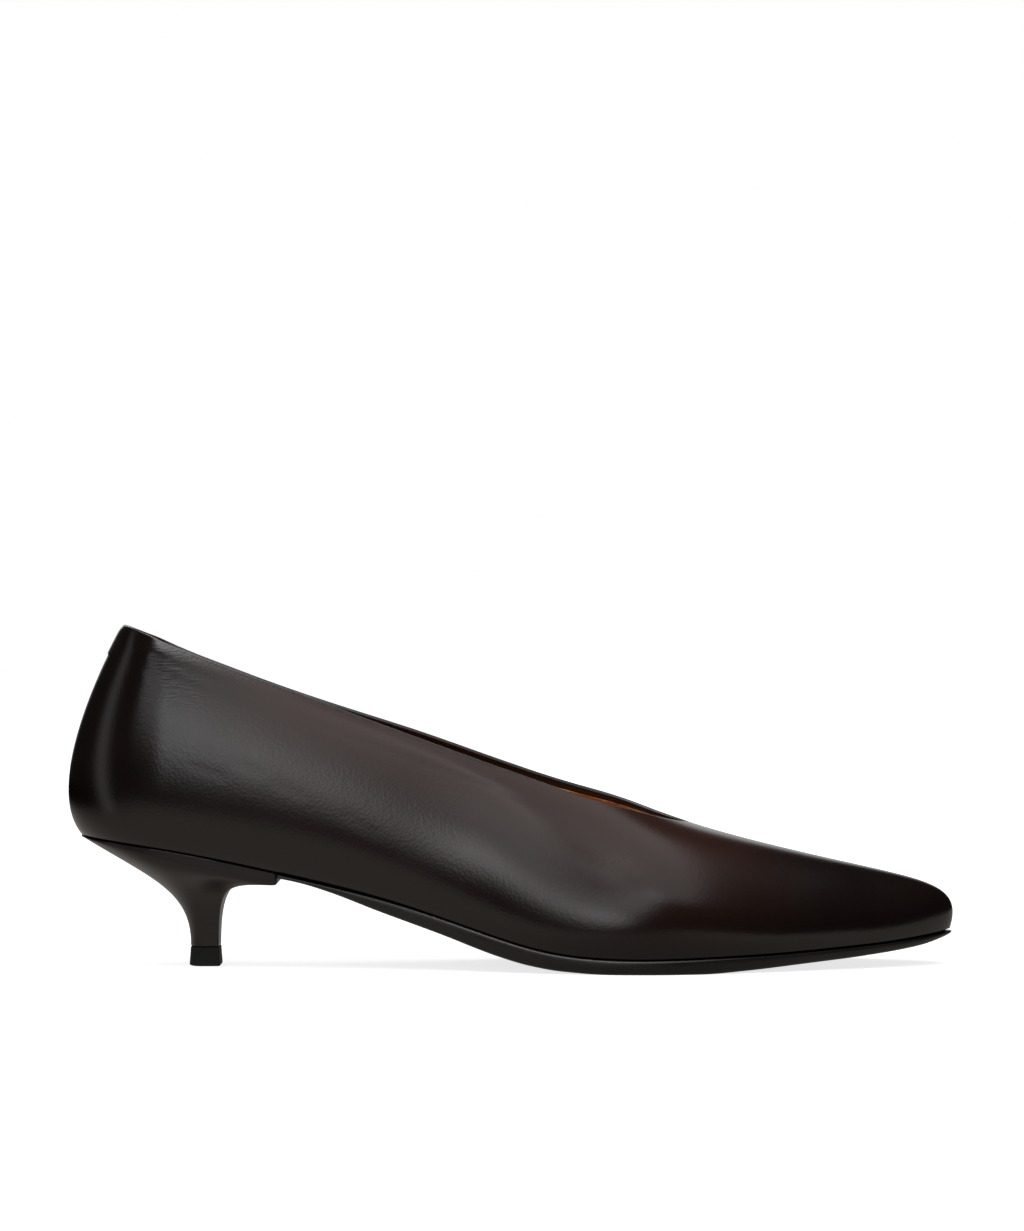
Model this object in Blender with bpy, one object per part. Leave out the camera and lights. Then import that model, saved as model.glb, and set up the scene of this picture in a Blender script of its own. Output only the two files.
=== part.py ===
"""A woman's kitten-heel pump for the right foot, as its maker assembles it.

The pieces are a hollow leather upper with its lasting margin turned in, an insole, an outsole, a covered
heel, a top lift and a back tab. Sizes are in millimetres on the shoe: X runs from the heel back to the toe
tip, Y from the outer (lateral) side to the inner (medial) side, and Z up from the floor.
"""

import bmesh
import bpy
import numpy as np

MM = 0.001
LATERAL, MEDIAL = -1.0, 1.0

# Walls, seats and clearances
UPPER_WALL = 1.8
SEAT_GAP = 0.3
LASTING_MARGIN = 7.0
LEAST_SOLE_OPENING = 0.4
INSOLE_THICK = 2.0
TIP_MARGIN = 9.0
INSOLE_CLEARANCE = 0.5
INSOLE_FLOOR = UPPER_WALL + SEAT_GAP
INSOLE_TOP = INSOLE_FLOOR + INSOLE_THICK
INSOLE_STEP_INSET = LASTING_MARGIN + INSOLE_CLEARANCE
TIP_STEP_INSET = TIP_MARGIN + INSOLE_CLEARANCE

# The last: one row for each cross-section. A section's wall runs from the feather edge, where it meets the
# sole, up to the ridge. It leaves the feather edge by flare and hip_rise, and it reaches the ridge level,
# from a point that lies at the share called shoulder of the feather half-width. Swing carries the toe in
# towards the inner side, as a right foot needs.
SECTION_COLUMNS = (
    "station", "feather_z", "lateral", "medial", "lateral_flare", "medial_flare",
    "hip_rise", "shoulder", "ridge_offset", "ridge_z", "swing",
)
SECTIONS = (
    (3.9, 38.9, 22.6, 22.4, 11.0, 11.0, 12.0, 0.78, 0.0, 132.0, 0.0),
    (30.0, 35.4, 22.6, 22.4, 11.0, 11.0, 12.0, 0.78, 0.0, 132.0, 0.0),
    (62.0, 28.9, 22.3, 20.0, 12.0, 13.0, 14.0, 0.80, 1.0, 122.0, 0.0),
    (95.0, 20.9, 24.2, 18.3, 9.5, 14.0, 13.0, 0.80, 2.0, 106.0, 0.0),
    (120.0, 12.9, 28.0, 20.6, 7.0, 12.0, 11.0, 0.74, 2.5, 88.0, 0.0),
    (140.0, 7.0, 33.0, 25.6, 6.5, 9.0, 10.0, 0.68, 3.0, 70.0, 0.0),
    (160.0, 4.8, 37.0, 31.6, 6.5, 7.5, 11.0, 0.62, 3.0, 54.8, 0.1),
    (175.0, 4.7, 37.6, 34.8, 6.5, 7.0, 12.0, 0.60, 2.6, 45.8, 0.4),
    (190.0, 5.1, 34.8, 34.4, 6.0, 6.0, 12.0, 0.60, 1.9, 40.3, 1.0),
    (210.0, 5.8, 28.4, 28.6, 5.0, 5.0, 11.0, 0.60, 1.0, 35.0, 2.1),
    (228.0, 6.9, 21.6, 21.9, 4.0, 4.0, 10.0, 0.60, 0.4, 30.8, 3.2),
    (243.0, 8.1, 16.0, 16.2, 3.0, 3.0, 8.0, 0.60, 0.1, 27.4, 4.1),
    (261.0, 10.5, 10.0, 10.0, 2.0, 2.0, 7.0, 0.60, 0.0, 22.7, 4.9),
)

# The rounded heel back and toe tip start at these stations and close with these fullnesses (2 is an ellipse)
HEEL_BASE, TOE_BASE = 30.0, 232.0
HEEL_FULLNESS, TOE_FULLNESS = 2.2, 3.0
# Profiles on the centre line: where the wall leaves the sole, its two handles, and where it ends
BACK_PROFILE = {"feather_x": 3.9, "hip_x": -13.3, "hip_z": 59.1, "shoulder_x": 31.0, "crown_x": 41.0}
TIP_PROFILE = {"feather_x": 261.6, "hip_x": 264.6, "hip_z": 20.1, "shoulder_x": 259.6, "crown_x": 245.8}

# The collar's height at each station, and the throat, where its two sides meet on the ridge
COLLAR_COLUMNS = ("station", "lateral", "medial")
COLLAR = (
    (15.5, 100.2, 100.2),
    (23.0, 98.2, 97.6),
    (36.0, 93.1, 92.1),
    (52.0, 87.1, 85.9),
    (70.0, 80.7, 79.4),
    (87.0, 74.2, 73.9),
    (104.0, 68.0, 68.5),
    (122.0, 61.6, 62.3),
    (140.0, 55.5, 56.4),
    (157.0, 49.1, 51.3),
)
THROAT_X = 183.0
THROAT_ROUNDING = {"lateral": 0.5, "medial": 0.75}
# The wall's columns of facets lean back round the throat: the one that ends there leaves the sole at
# FAN_APEX_X
FAN_START_X, FAN_APEX_X = 140.0, 198.0
FAN_BEND = 1.5

# The outsole: height of its tread, and its edge as outset from the feather line at shares of its thickness
OUTSOLE_REAR_X = 61.8
TREAD_COLUMNS = ("station", "height")
TREAD = (
    (61.8, 26.4),
    (74.4, 23.6),
    (92.2, 17.4),
    (110.0, 11.1),
    (127.7, 4.6),
    (136.6, 2.2),
    (145.5, 0.8),
    (160.0, 0.0),
    (186.0, 0.0),
    (198.9, 0.7),
    (216.7, 2.2),
    (234.4, 3.8),
    (252.2, 6.2),
    (262.0, 9.0),
)
OUTSOLE_EDGE_COLUMNS = ("outset", "depth_share")
OUTSOLE_EDGE = (
    (0.4, 0.0),
    (0.5, 0.35),
    (0.1, 0.75),
    (-1.2, 1.0),
)

# The heel: centre-line profiles from seat to lift as (x, z) of a cubic curve, and its half-width likewise
HEEL_FRONT_X = 61.5
HEEL_BACK_CURVE = ((3.9, 38.4), (25.4, 25.5), (36.2, 21.7), (36.2, 5.9))
HEEL_BREAST_CURVE = ((61.5, 24.6), (47.3, 25.3), (44.5, 24.8), (44.5, 5.9))
HEEL_HALF_WIDTHS = (22.6, 22.0, 6.2, 6.0)

# The top lift: height and outset from the heel's foot at each level
LIFT_COLUMNS = ("height", "outset")
LIFT = (
    (5.6, 0.05),
    (0.6, 0.4),
    (0.0, 0.2),
)

# The back tab
TAB_HALF_WIDTH = 7.0
TAB_BOTTOM_Z, TAB_TOP_Z = 92.4, 99.4
TAB_THICK = 0.4

# Fineness of the facets
SIDE_STATIONS = (
    30.0, 37.5, 45.0, 53.0, 61.5, 70.0, 78.0, 86.0, 94.0, 102.0, 110.0, 117.0, 124.0, 131.0, 138.0, 145.0,
    152.5, 160.0, 167.0, 174.0, 180.5, 186.5, 191.0, 194.5, 196.8, 198.0, 203.0, 209.0, 216.0, 224.0, 232.0,
)
LEAST_FACET = 1.0
QUARTER_STEPS = 9
WALL_ROWS = 14
HEEL_LEVELS = 16
TAB_STEPS = 5
TAB_ROWS = 3
SOLVE_SAMPLES = 400
NUDGE = 0.001
MOST_NORMAL_SHARE = 0.995
MOST_INSOLE_SHARE = 0.3
WELD = 0.0001
SHARP_ANGLE = 0.7

COLOURS = {
    "upper": ((0.022, 0.014, 0.012), 0.34),
    "insole": ((0.42, 0.20, 0.07), 0.55),
    "outsole": ((0.008, 0.007, 0.007), 0.50),
    "heel": ((0.016, 0.011, 0.010), 0.42),
    "top_lift": ((0.006, 0.006, 0.006), 0.60),
    "back_tab": ((0.022, 0.014, 0.012), 0.36),
}


def spline(knots, values):
    """A natural cubic spline through the knots, as a function of arrays."""
    x = np.asarray(knots, float)
    y = np.asarray(values, float)
    step = np.diff(x)
    rise = np.diff(y) / step
    count = len(x)
    system = np.eye(count)
    right = np.zeros(count)
    for i in range(1, count - 1):
        system[i, i - 1:i + 2] = step[i - 1], 2 * (step[i - 1] + step[i]), step[i]
        right[i] = 6 * (rise[i] - rise[i - 1])
    bend = np.linalg.solve(system, right)

    def at(q):
        q = np.asarray(q, float)
        i = np.clip(np.searchsorted(x, q) - 1, 0, count - 2)
        d = q - x[i]
        slope = rise[i] - step[i] * (2 * bend[i] + bend[i + 1]) / 6
        return y[i] + d * (slope + d * (bend[i] / 2 + d * (bend[i + 1] - bend[i]) / (6 * step[i])))

    return at


def level_keeping_curve(knots, values):
    """A smooth curve that never overshoots its knots, so a flat run in the table stays exactly flat."""
    x = np.asarray(knots, float)
    y = np.asarray(values, float)
    step = np.diff(x)
    rise = np.diff(y) / step
    slope = np.concatenate(([rise[0]], np.zeros(len(x) - 2), [rise[-1]]))
    same_way = rise[:-1] * rise[1:] > 0
    before = 2 * step[1:] + step[:-1]
    after = step[1:] + 2 * step[:-1]
    with np.errstate(divide="ignore"):
        mean = (before + after) / (before / rise[:-1] + after / rise[1:])
    slope[1:-1] = np.where(same_way, mean, 0.0)

    def at(q):
        q = np.asarray(q, float)
        i = np.clip(np.searchsorted(x, q, side="right") - 1, 0, len(x) - 2)
        t = (q - x[i]) / step[i]
        start = (1 + 2 * t) * (1 - t) ** 2 * y[i] + t * (1 - t) ** 2 * step[i] * slope[i]
        end = t * t * (3 - 2 * t) * y[i + 1] + t * t * (t - 1) * step[i] * slope[i + 1]
        return start + end

    return at


def named_rows(columns, rows):
    """The rows of a small table, each by its column names."""
    return [dict(zip(columns, row)) for row in rows]


def table_curves(columns, rows, curve):
    """One curve along the shoe for each named column of a table."""
    by_column = dict(zip(columns, zip(*rows)))
    stations = by_column.pop(columns[0])
    return {name: curve(stations, values) for name, values in by_column.items()}


LAST = table_curves(SECTION_COLUMNS, SECTIONS, spline)
COLLAR_HEIGHT = table_curves(COLLAR_COLUMNS, COLLAR, spline)
TREAD_HEIGHT = table_curves(TREAD_COLUMNS, TREAD, level_keeping_curve)["height"]
SIDE_NAMES = {LATERAL: "lateral", MEDIAL: "medial"}


def cubic(points, share):
    """A cubic Bezier curve of four points or four arrays of points."""
    share = np.asarray(share, float)
    rest = 1 - share
    weights = (rest ** 3, 3 * share * rest ** 2, 3 * share ** 2 * rest, share ** 3)
    return sum(weight * point for weight, point in zip(weights, points))


def outline_columns(rear_x=None, front_x=None):
    """Columns of the grids along the shoe, as base station and turn.

    Turn runs from -1 at the heel back to 0 where the sides start, and from 0 to 1 round the toe tip. A piece
    that stops at the breast gives rear_x, its own first station, or front_x, its last.
    """
    turn = np.sin(np.linspace(0, np.pi / 2, QUARTER_STEPS + 1))
    sides = np.array(SIDE_STATIONS)
    base, turns = [], []
    if rear_x is None:
        base.append(np.full(QUARTER_STEPS, HEEL_BASE))
        turns.append(-turn[:0:-1])
    else:
        sides = np.concatenate(([rear_x], sides[sides > rear_x + LEAST_FACET]))
    if front_x is not None:
        sides = np.concatenate((sides[sides < front_x - LEAST_FACET], [front_x]))
    base.append(sides)
    turns.append(np.zeros(len(sides)))
    if front_x is None:
        base.append(np.full(QUARTER_STEPS, TOE_BASE))
        turns.append(turn[1:])
    return np.concatenate(base), np.concatenate(turns)


def closing(turn):
    """How far the half-width has closed in round the heel back and the toe tip, from 1 to 0."""
    heel = np.clip(-turn, 0, 1) ** HEEL_FULLNESS
    toe = np.clip(turn, 0, 1) ** TOE_FULLNESS
    return np.sqrt(np.clip(1 - heel - toe, 0, 1))


def run_to_ends(base, turn, back_x, tip_x):
    """X of each column, carried from its base station to the heel back or the toe tip by its turn."""
    return base + (back_x - HEEL_BASE) * np.clip(-turn, 0, 1) + (tip_x - TOE_BASE) * np.clip(turn, 0, 1)


def inset_outline(side, base, turn, inset, tip_inset=None):
    """X and Y of one half of the feather line, drawn in by an inset that leaves part of a narrow toe."""
    tip_inset = inset if tip_inset is None else tip_inset
    own_x = run_to_ends(base, turn, BACK_PROFILE["feather_x"], TIP_PROFILE["feather_x"])
    x = run_to_ends(base, turn, BACK_PROFILE["feather_x"] + inset, TIP_PROFILE["feather_x"] - tip_inset)
    half = LAST[SIDE_NAMES[side]](np.where(turn > 0, own_x, base))
    half = np.maximum(half - inset, LEAST_SOLE_OPENING * half)
    return x, LAST["swing"](own_x) + side * half * closing(turn)


def loop(x, y, z):
    """A half loop of points."""
    return np.stack(np.broadcast_arrays(x, y, z), axis=-1)


def last_wall(side, base, turn, share):
    """Points of the last's wall, at shares of each section's curve from feather edge to ridge."""
    name = SIDE_NAMES[side]
    heel = np.clip(-turn, 0, 1)
    toe = np.clip(turn, 0, 1)
    drawn = closing(turn)
    straight = 1 - heel ** 2 - toe ** 2

    def along(key):
        return run_to_ends(base, turn, BACK_PROFILE[key], TIP_PROFILE[key])

    feather_x = along("feather_x")
    crown_x = along("crown_x")
    shoulder_x = along("shoulder_x")
    section_x = np.where(turn > 0, feather_x, base)
    ridge_x = np.where(turn > 0, crown_x, base)
    half = LAST[name](section_x)
    swing = LAST["swing"](section_x)
    feather = loop(feather_x, swing + side * half * drawn, LAST["feather_z"](feather_x))
    hip_z = straight * (LAST["feather_z"](section_x) + LAST["hip_rise"](section_x))
    hip_z = hip_z + BACK_PROFILE["hip_z"] * heel ** 2 + TIP_PROFILE["hip_z"] * toe ** 2
    hip_y = swing + side * (half + LAST[name + "_flare"](section_x)) * drawn
    hip = loop(along("hip_x"), hip_y, hip_z)
    crown_y = LAST["swing"](ridge_x) + LAST["ridge_offset"](ridge_x) * straight
    crown = loop(crown_x, crown_y, LAST["ridge_z"](ridge_x))
    ridge_fall = LAST["ridge_z"](ridge_x + NUDGE) - LAST["ridge_z"](ridge_x - NUDGE)
    ridge_slope = np.where(turn > 0, ridge_fall / (2 * NUDGE), 0.0)
    shoulder_y = crown[..., 1] + LAST["shoulder"](section_x) * (feather[..., 1] - crown[..., 1])
    shoulder = loop(shoulder_x, shoulder_y, crown[..., 2] + ridge_slope * (shoulder_x - crown_x))
    return cubic((feather, hip, shoulder, crown), np.asarray(share)[..., None])


def wall_normals(side, base, turn, share):
    """Outward unit normals of the wall, from its slopes along the shoe and up the section."""
    share = np.clip(share, NUDGE, MOST_NORMAL_SHARE)
    most_angle = np.pi / 2 - 2 * NUDGE
    angle = np.clip(np.arcsin(turn), -most_angle, most_angle)
    on_side = turn == 0

    def beside(step):
        return last_wall(side, base + step * on_side, np.sin(angle + step * ~on_side), share)

    along = beside(NUDGE) - beside(-NUDGE)
    up = last_wall(side, base, turn, share + NUDGE) - last_wall(side, base, turn, share - NUDGE)
    normal = side * np.cross(up, along)
    return normal / np.linalg.norm(normal, axis=-1, keepdims=True)


def top_stations(base):
    """The station at which each column of the wall ends. Columns crowd together towards the throat."""
    reach = FAN_APEX_X - FAN_START_X
    run = THROAT_X - FAN_START_X
    behind = THROAT_X - run * (np.clip(FAN_APEX_X - base, 0, reach) / reach) ** (reach / run)
    ahead = (TOE_BASE - THROAT_X) / (TOE_BASE - FAN_APEX_X) * (base - FAN_APEX_X)
    fanned = np.where(base > FAN_APEX_X, THROAT_X + ahead, behind)
    return np.where(base < FAN_START_X, base, fanned)


def collar_shares(base, turn):
    """Share of each section's curve at which the collar cuts it, by side. From the throat on it is 1."""
    samples = np.linspace(0, 1, SOLVE_SAMPLES)
    slope_start = COLLAR[-1][0]
    to_throat = np.clip((THROAT_X - base) / (THROAT_X - slope_start), 0, 1)
    shares = {}
    for side, name in SIDE_NAMES.items():
        stations = np.minimum(base, slope_start)
        points = last_wall(side, stations, turn, samples[:, None])
        above = points[..., 2] - COLLAR_HEIGHT[name](points[..., 0])
        cut = np.array([np.interp(0.0, column, samples) for column in above.T])
        shares[side] = 1 - (1 - cut) * to_throat ** THROAT_ROUNDING[name]
    at_back = (shares[LATERAL][0] + shares[MEDIAL][0]) / 2
    for side in SIDE_NAMES:
        shares[side][0] = at_back
    return shares


def wall_pair(base, turn, shares):
    """Points and normals of both sides of the wall. Where the sides join, they have the same ones."""
    points = {side: last_wall(side, base, turn, shares[side]) for side in SIDE_NAMES}
    normals = {side: wall_normals(side, base, turn, shares[side]) for side in SIDE_NAMES}
    on_ridge = (shares[LATERAL] == 1) & (shares[MEDIAL] == 1)
    joined = on_ridge | (np.abs(turn) == 1)
    shared = normals[LATERAL][joined] + normals[MEDIAL][joined]
    shared /= np.linalg.norm(shared, axis=-1, keepdims=True)
    for side in SIDE_NAMES:
        normals[side][joined] = shared
    return points, normals


def lofted_grids(halves):
    """Side walls through each half's levels, with caps across the first and the last level."""
    caps = [np.stack((halves[LATERAL][level], halves[MEDIAL][level])) for level in (0, -1)]
    return [halves[LATERAL], halves[MEDIAL]] + caps


def end_face(halves, column):
    """The straight face that joins the two halves at one end."""
    return np.stack((halves[LATERAL][:, column], halves[MEDIAL][:, column]))


def upper_grids():
    """The upper: outer and inner wall, collar rim, and the lasting margin turned in under the insole."""
    base, turn = outline_columns()
    top = top_stations(base)
    collar = collar_shares(top, turn)
    rows = np.linspace(0, 1, WALL_ROWS + 1)[:, None]
    leaning = base + (top - base) * rows ** FAN_BEND
    points, normals = wall_pair(leaning, turn, {side: rows * collar[side] for side in SIDE_NAMES})
    open_columns = np.searchsorted(top, THROAT_X) + 1
    grids = []
    for side in SIDE_NAMES:
        outer = points[side]
        inner = outer - UPPER_WALL * normals[side]
        rising = last_wall(side, base, turn, np.full(len(base), NUDGE)) - outer[0]
        lift = (outer[0, :, 2] + UPPER_WALL - inner[0, :, 2]) / rising[:, 2]
        inner[0] += lift[:, None] * rising
        x, y = inset_outline(side, base, turn, LASTING_MARGIN, TIP_MARGIN)
        margin_under = loop(x, y, LAST["feather_z"](x))
        margin_top = margin_under + np.array((0.0, 0.0, UPPER_WALL))
        rim = np.stack((outer[-1, :open_columns], inner[-1, :open_columns]))
        margin = np.stack((outer[0], margin_under, margin_top, inner[0]))
        grids += [outer, inner, rim, margin]
    return grids


def insole_insets(base, turn, height):
    """Inset of the insole's edge by side, at a height above the feather line, following the wall's slope."""
    straight = np.zeros(len(base))
    shares = np.linspace(0, MOST_INSOLE_SHARE, SOLVE_SAMPLES)[:, None] * np.ones(len(base))
    insets = {}
    for side in SIDE_NAMES:
        outer = last_wall(side, base, straight, shares)
        inner = outer - UPPER_WALL * wall_normals(side, base, straight, shares)
        rise = (inner - outer[0])[..., 2]
        reach = side * (inner - outer[0])[..., 1]
        at_height = [np.interp(height, *column) for column in zip(rise.T, reach.T)]
        insets[side] = INSOLE_CLEARANCE - np.array(at_height)
    shared = (insets[LATERAL] + insets[MEDIAL]) / 2
    return {side: np.where(turn == 0, inset, shared) for side, inset in insets.items()}


def insole_grids():
    """The insole: a board over the lasting margin, stepped down between the margin's edges."""
    base, turn = outline_columns()
    top_insets = insole_insets(base, turn, INSOLE_TOP)
    low_insets = insole_insets(base, turn, INSOLE_FLOOR)
    halves = {}
    for side in SIDE_NAMES:
        x, y = inset_outline(side, base, turn, top_insets[side])
        low_x, low_y = inset_outline(side, base, turn, low_insets[side])
        step_x, step_y = inset_outline(side, base, turn, INSOLE_STEP_INSET, TIP_STEP_INSET)
        halves[side] = np.stack((
            loop(x, y, LAST["feather_z"](x) + INSOLE_TOP),
            loop(low_x, low_y, LAST["feather_z"](low_x) + INSOLE_FLOOR),
            loop(step_x, step_y, LAST["feather_z"](step_x) + INSOLE_FLOOR),
            loop(step_x, step_y, LAST["feather_z"](step_x)),
        ))
    return lofted_grids(halves)


def outsole_grids():
    """The outsole: its top follows the feather line, its tread has arch, flat and toe spring."""
    base, turn = outline_columns(rear_x=OUTSOLE_REAR_X)
    halves = {}
    for side in SIDE_NAMES:
        levels = []
        for level in named_rows(OUTSOLE_EDGE_COLUMNS, OUTSOLE_EDGE):
            x, y = inset_outline(side, base, turn, -level["outset"])
            top = LAST["feather_z"](x) - SEAT_GAP
            levels.append(loop(x, y, top + level["depth_share"] * (TREAD_HEIGHT(x) - top)))
        halves[side] = np.stack(levels)
    return lofted_grids(halves) + [end_face(halves, 0)]


def heel_level(share):
    """Back point, breast point and half-width of the heel at shares of the way from seat to foot."""
    back = cubic(np.array(HEEL_BACK_CURVE)[:, None], share[:, None])
    breast = cubic(np.array(HEEL_BREAST_CURVE)[:, None], share[:, None])
    return back, breast, cubic(HEEL_HALF_WIDTHS, share)


def heel_outline(side):
    """The seat's half outline: X, Y, and both again as shares from back to breast and of its half-width."""
    base, turn = outline_columns(front_x=HEEL_FRONT_X)
    x, y = inset_outline(side, base, turn, 0.0)
    return x, y, (x - x[0]) / (x[-1] - x[0]), y / HEEL_HALF_WIDTHS[0]


def heel_grids():
    """The heel: the seat's outline, carried down along the back and breast curves to a small foot."""
    back, breast, half_width = heel_level(np.linspace(0, 1, HEEL_LEVELS + 1))
    halves = {}
    for side in SIDE_NAMES:
        x, y, run, spread = heel_outline(side)
        seat = loop(x, y, LAST["feather_z"](x) - SEAT_GAP)
        centre = back[:, None, :] + run[None, :, None] * (breast - back)[:, None, :]
        levels = loop(centre[..., 0], spread * half_width[:, None], centre[..., 1])
        halves[side] = np.concatenate((seat[None], levels))
    return lofted_grids(halves) + [end_face(halves, -1)]


def lift_grids():
    """The top lift: the heel's foot outline, a little fuller at its rim."""
    back, breast, half_width = heel_level(np.array([1.0]))
    middle = (back[0, 0] + breast[0, 0]) / 2
    half_length = (breast[0, 0] - back[0, 0]) / 2
    halves = {}
    for side in SIDE_NAMES:
        run, spread = heel_outline(side)[2:]
        levels = []
        for level in named_rows(LIFT_COLUMNS, LIFT):
            x = middle + (half_length + level["outset"]) * (2 * run - 1)
            levels.append(loop(x, spread * (half_width + level["outset"]), level["height"]))
        halves[side] = np.stack(levels)
    return lofted_grids(halves) + [end_face(halves, -1)]


def tab_grids():
    """The back tab: a thin piece cut from the wall's own form over the top of the back seam."""
    samples = np.linspace(0, 1, SOLVE_SAMPLES)
    back_line = last_wall(LATERAL, HEEL_BASE, -1.0, samples)
    low, high = np.interp((TAB_BOTTOM_Z, TAB_TOP_Z), back_line[:, 2], samples)
    wall_half = abs(last_wall(LATERAL, HEEL_BASE, 0.0, high)[1])
    edge_turn = (1 - (TAB_HALF_WIDTH / wall_half) ** 2) ** (1 / HEEL_FULLNESS)
    turn = -np.sin(np.linspace(np.pi / 2, np.arcsin(edge_turn), TAB_STEPS + 1))
    base = np.full(len(turn), HEEL_BASE)
    shares = np.linspace(low, high, TAB_ROWS + 1)[:, None] * np.ones(len(turn))
    points, normals = wall_pair(base, turn, {side: shares for side in SIDE_NAMES})

    def sheet(offset):
        halves = {side: points[side] + offset * normals[side] for side in SIDE_NAMES}
        return np.concatenate((halves[LATERAL][:, :0:-1], halves[MEDIAL]), axis=1)

    under = sheet(SEAT_GAP)
    outer = sheet(SEAT_GAP + TAB_THICK)
    edges = [np.stack((under[row], outer[row])) for row in (0, -1)]
    edges += [np.stack((under[:, column], outer[:, column])) for column in (0, -1)]
    return [under, outer] + edges


def grid_triangles(rows, columns, first):
    """Triangles of one grid of points, all split along the same diagonal."""
    index = first + np.arange(rows * columns).reshape(rows, columns)
    a, b, c, d = index[:-1, :-1], index[1:, :-1], index[1:, 1:], index[:-1, 1:]
    halves = (np.stack((a, b, c), axis=-1), np.stack((a, c, d), axis=-1))
    return np.concatenate([half.reshape(-1, 3) for half in halves])


def material(name):
    """The piece's own leather, board or rubber."""
    colour, roughness = COLOURS[name]
    finish = bpy.data.materials.new(name)
    finish.use_nodes = True
    shader = finish.node_tree.nodes["Principled BSDF"]
    shader.inputs["Base Color"].default_value = (*colour, 1.0)
    shader.inputs["Roughness"].default_value = roughness
    shader.inputs["Metallic"].default_value = 0.0
    return finish


def add_piece(name, grids, parent):
    """One closed piece from its grids, welded where their borders meet."""
    points, triangles, first = [], [], 0
    for grid in grids:
        rows, columns = grid.shape[:2]
        points.append(grid.reshape(-1, 3))
        triangles.append(grid_triangles(rows, columns, first))
        first += rows * columns
    mesh = bpy.data.meshes.new(name)
    mesh.from_pydata((np.concatenate(points) * MM).tolist(), [], np.concatenate(triangles).tolist())
    work = bmesh.new()
    work.from_mesh(mesh)
    bmesh.ops.remove_doubles(work, verts=work.verts, dist=WELD * MM)
    bmesh.ops.recalc_face_normals(work, faces=work.faces)
    work.to_mesh(mesh)
    work.free()
    mesh.shade_smooth()
    mesh.set_sharp_from_angle(angle=SHARP_ANGLE)
    mesh.materials.append(material(name))
    piece = bpy.data.objects.new(name, mesh)
    piece.parent = parent
    bpy.context.collection.objects.link(piece)
    return piece


def main():
    """Clear the scene, build each piece, and put the origin under the middle of the shoe's box."""
    for item in list(bpy.data.objects):
        bpy.data.objects.remove(item, do_unlink=True)
    shoe = bpy.data.objects.new("shoe", None)
    bpy.context.collection.objects.link(shoe)
    makers = {
        "upper": upper_grids,
        "insole": insole_grids,
        "outsole": outsole_grids,
        "heel": heel_grids,
        "top_lift": lift_grids,
        "back_tab": tab_grids,
    }
    pieces = [add_piece(name, make(), shoe) for name, make in makers.items()]
    corners = np.array([corner[:] for piece in pieces for corner in piece.bound_box])
    middle = (corners.min(axis=0) + corners.max(axis=0)) / 2
    shoe.location = (-middle[0], -middle[1], 0.0)
    bpy.context.view_layer.update()


main()
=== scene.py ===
"""The dressed kitten-heel pump: leather, lining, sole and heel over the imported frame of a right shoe.

Lengths are in millimetres on the shoe until a mesh is written. X runs from the heel back to the toe tip,
Y from the outer (lateral) side to the inner (medial) side, and Z up from the floor. The studio's floor,
lights and camera are in metres.
"""

from __future__ import annotations

import logging
import math
from dataclasses import dataclass, field
from enum import Enum
from functools import cached_property
from typing import Callable, ClassVar, Sequence

import bmesh
import bpy
import numpy as np
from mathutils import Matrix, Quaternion, Vector


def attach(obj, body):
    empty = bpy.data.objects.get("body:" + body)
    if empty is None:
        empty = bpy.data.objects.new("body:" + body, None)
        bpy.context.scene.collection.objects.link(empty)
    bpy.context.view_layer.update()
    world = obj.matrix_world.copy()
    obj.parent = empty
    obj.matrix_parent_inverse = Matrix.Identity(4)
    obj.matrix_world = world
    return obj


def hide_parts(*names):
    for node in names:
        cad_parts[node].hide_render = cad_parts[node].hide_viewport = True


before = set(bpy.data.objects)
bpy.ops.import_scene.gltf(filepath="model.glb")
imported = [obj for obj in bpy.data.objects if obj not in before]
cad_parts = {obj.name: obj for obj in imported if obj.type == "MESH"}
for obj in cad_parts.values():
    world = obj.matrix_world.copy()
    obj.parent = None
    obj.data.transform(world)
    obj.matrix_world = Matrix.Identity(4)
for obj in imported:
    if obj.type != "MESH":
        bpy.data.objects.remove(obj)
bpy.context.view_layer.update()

LOG = logging.getLogger("pump")
Array = np.ndarray
Curve = Callable[[Array], Array]
Halves = dict["Side", Array]
Span = tuple[float, float]
Place = tuple[float, float]
Colour = tuple[float, float, float]
Socket = bpy.types.NodeSocket

# Metres in a millimetre, the frame's origin on the shoe, and the small step that slopes are taken over
MM = 0.001
ORIGIN = np.array((131.197, -0.784, 0.0))
NUDGE = 0.001

# Values of the finish mask: painted shade on the facing inside the upper, and a painted highlight on the
# lining's cut edge
PAINTED_SHADE = -1.0
CUT_EDGE_HIGHLIGHT = 1.0

# Places of the two colours and of their blend among the sockets of a Mix node
MIX_INPUTS = (6, 7)
MIX_RESULT = 2

BLACK = (0.0, 0.0, 0.0)
WHITE = (1.0, 1.0, 1.0)


class Side(Enum):
    """The two sides of the shoe, by the sign of Y."""

    LATERAL = -1
    MEDIAL = 1

    @property
    def label(self) -> str:
        """Name of this side in the tables."""
        return self.name.lower()


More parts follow.
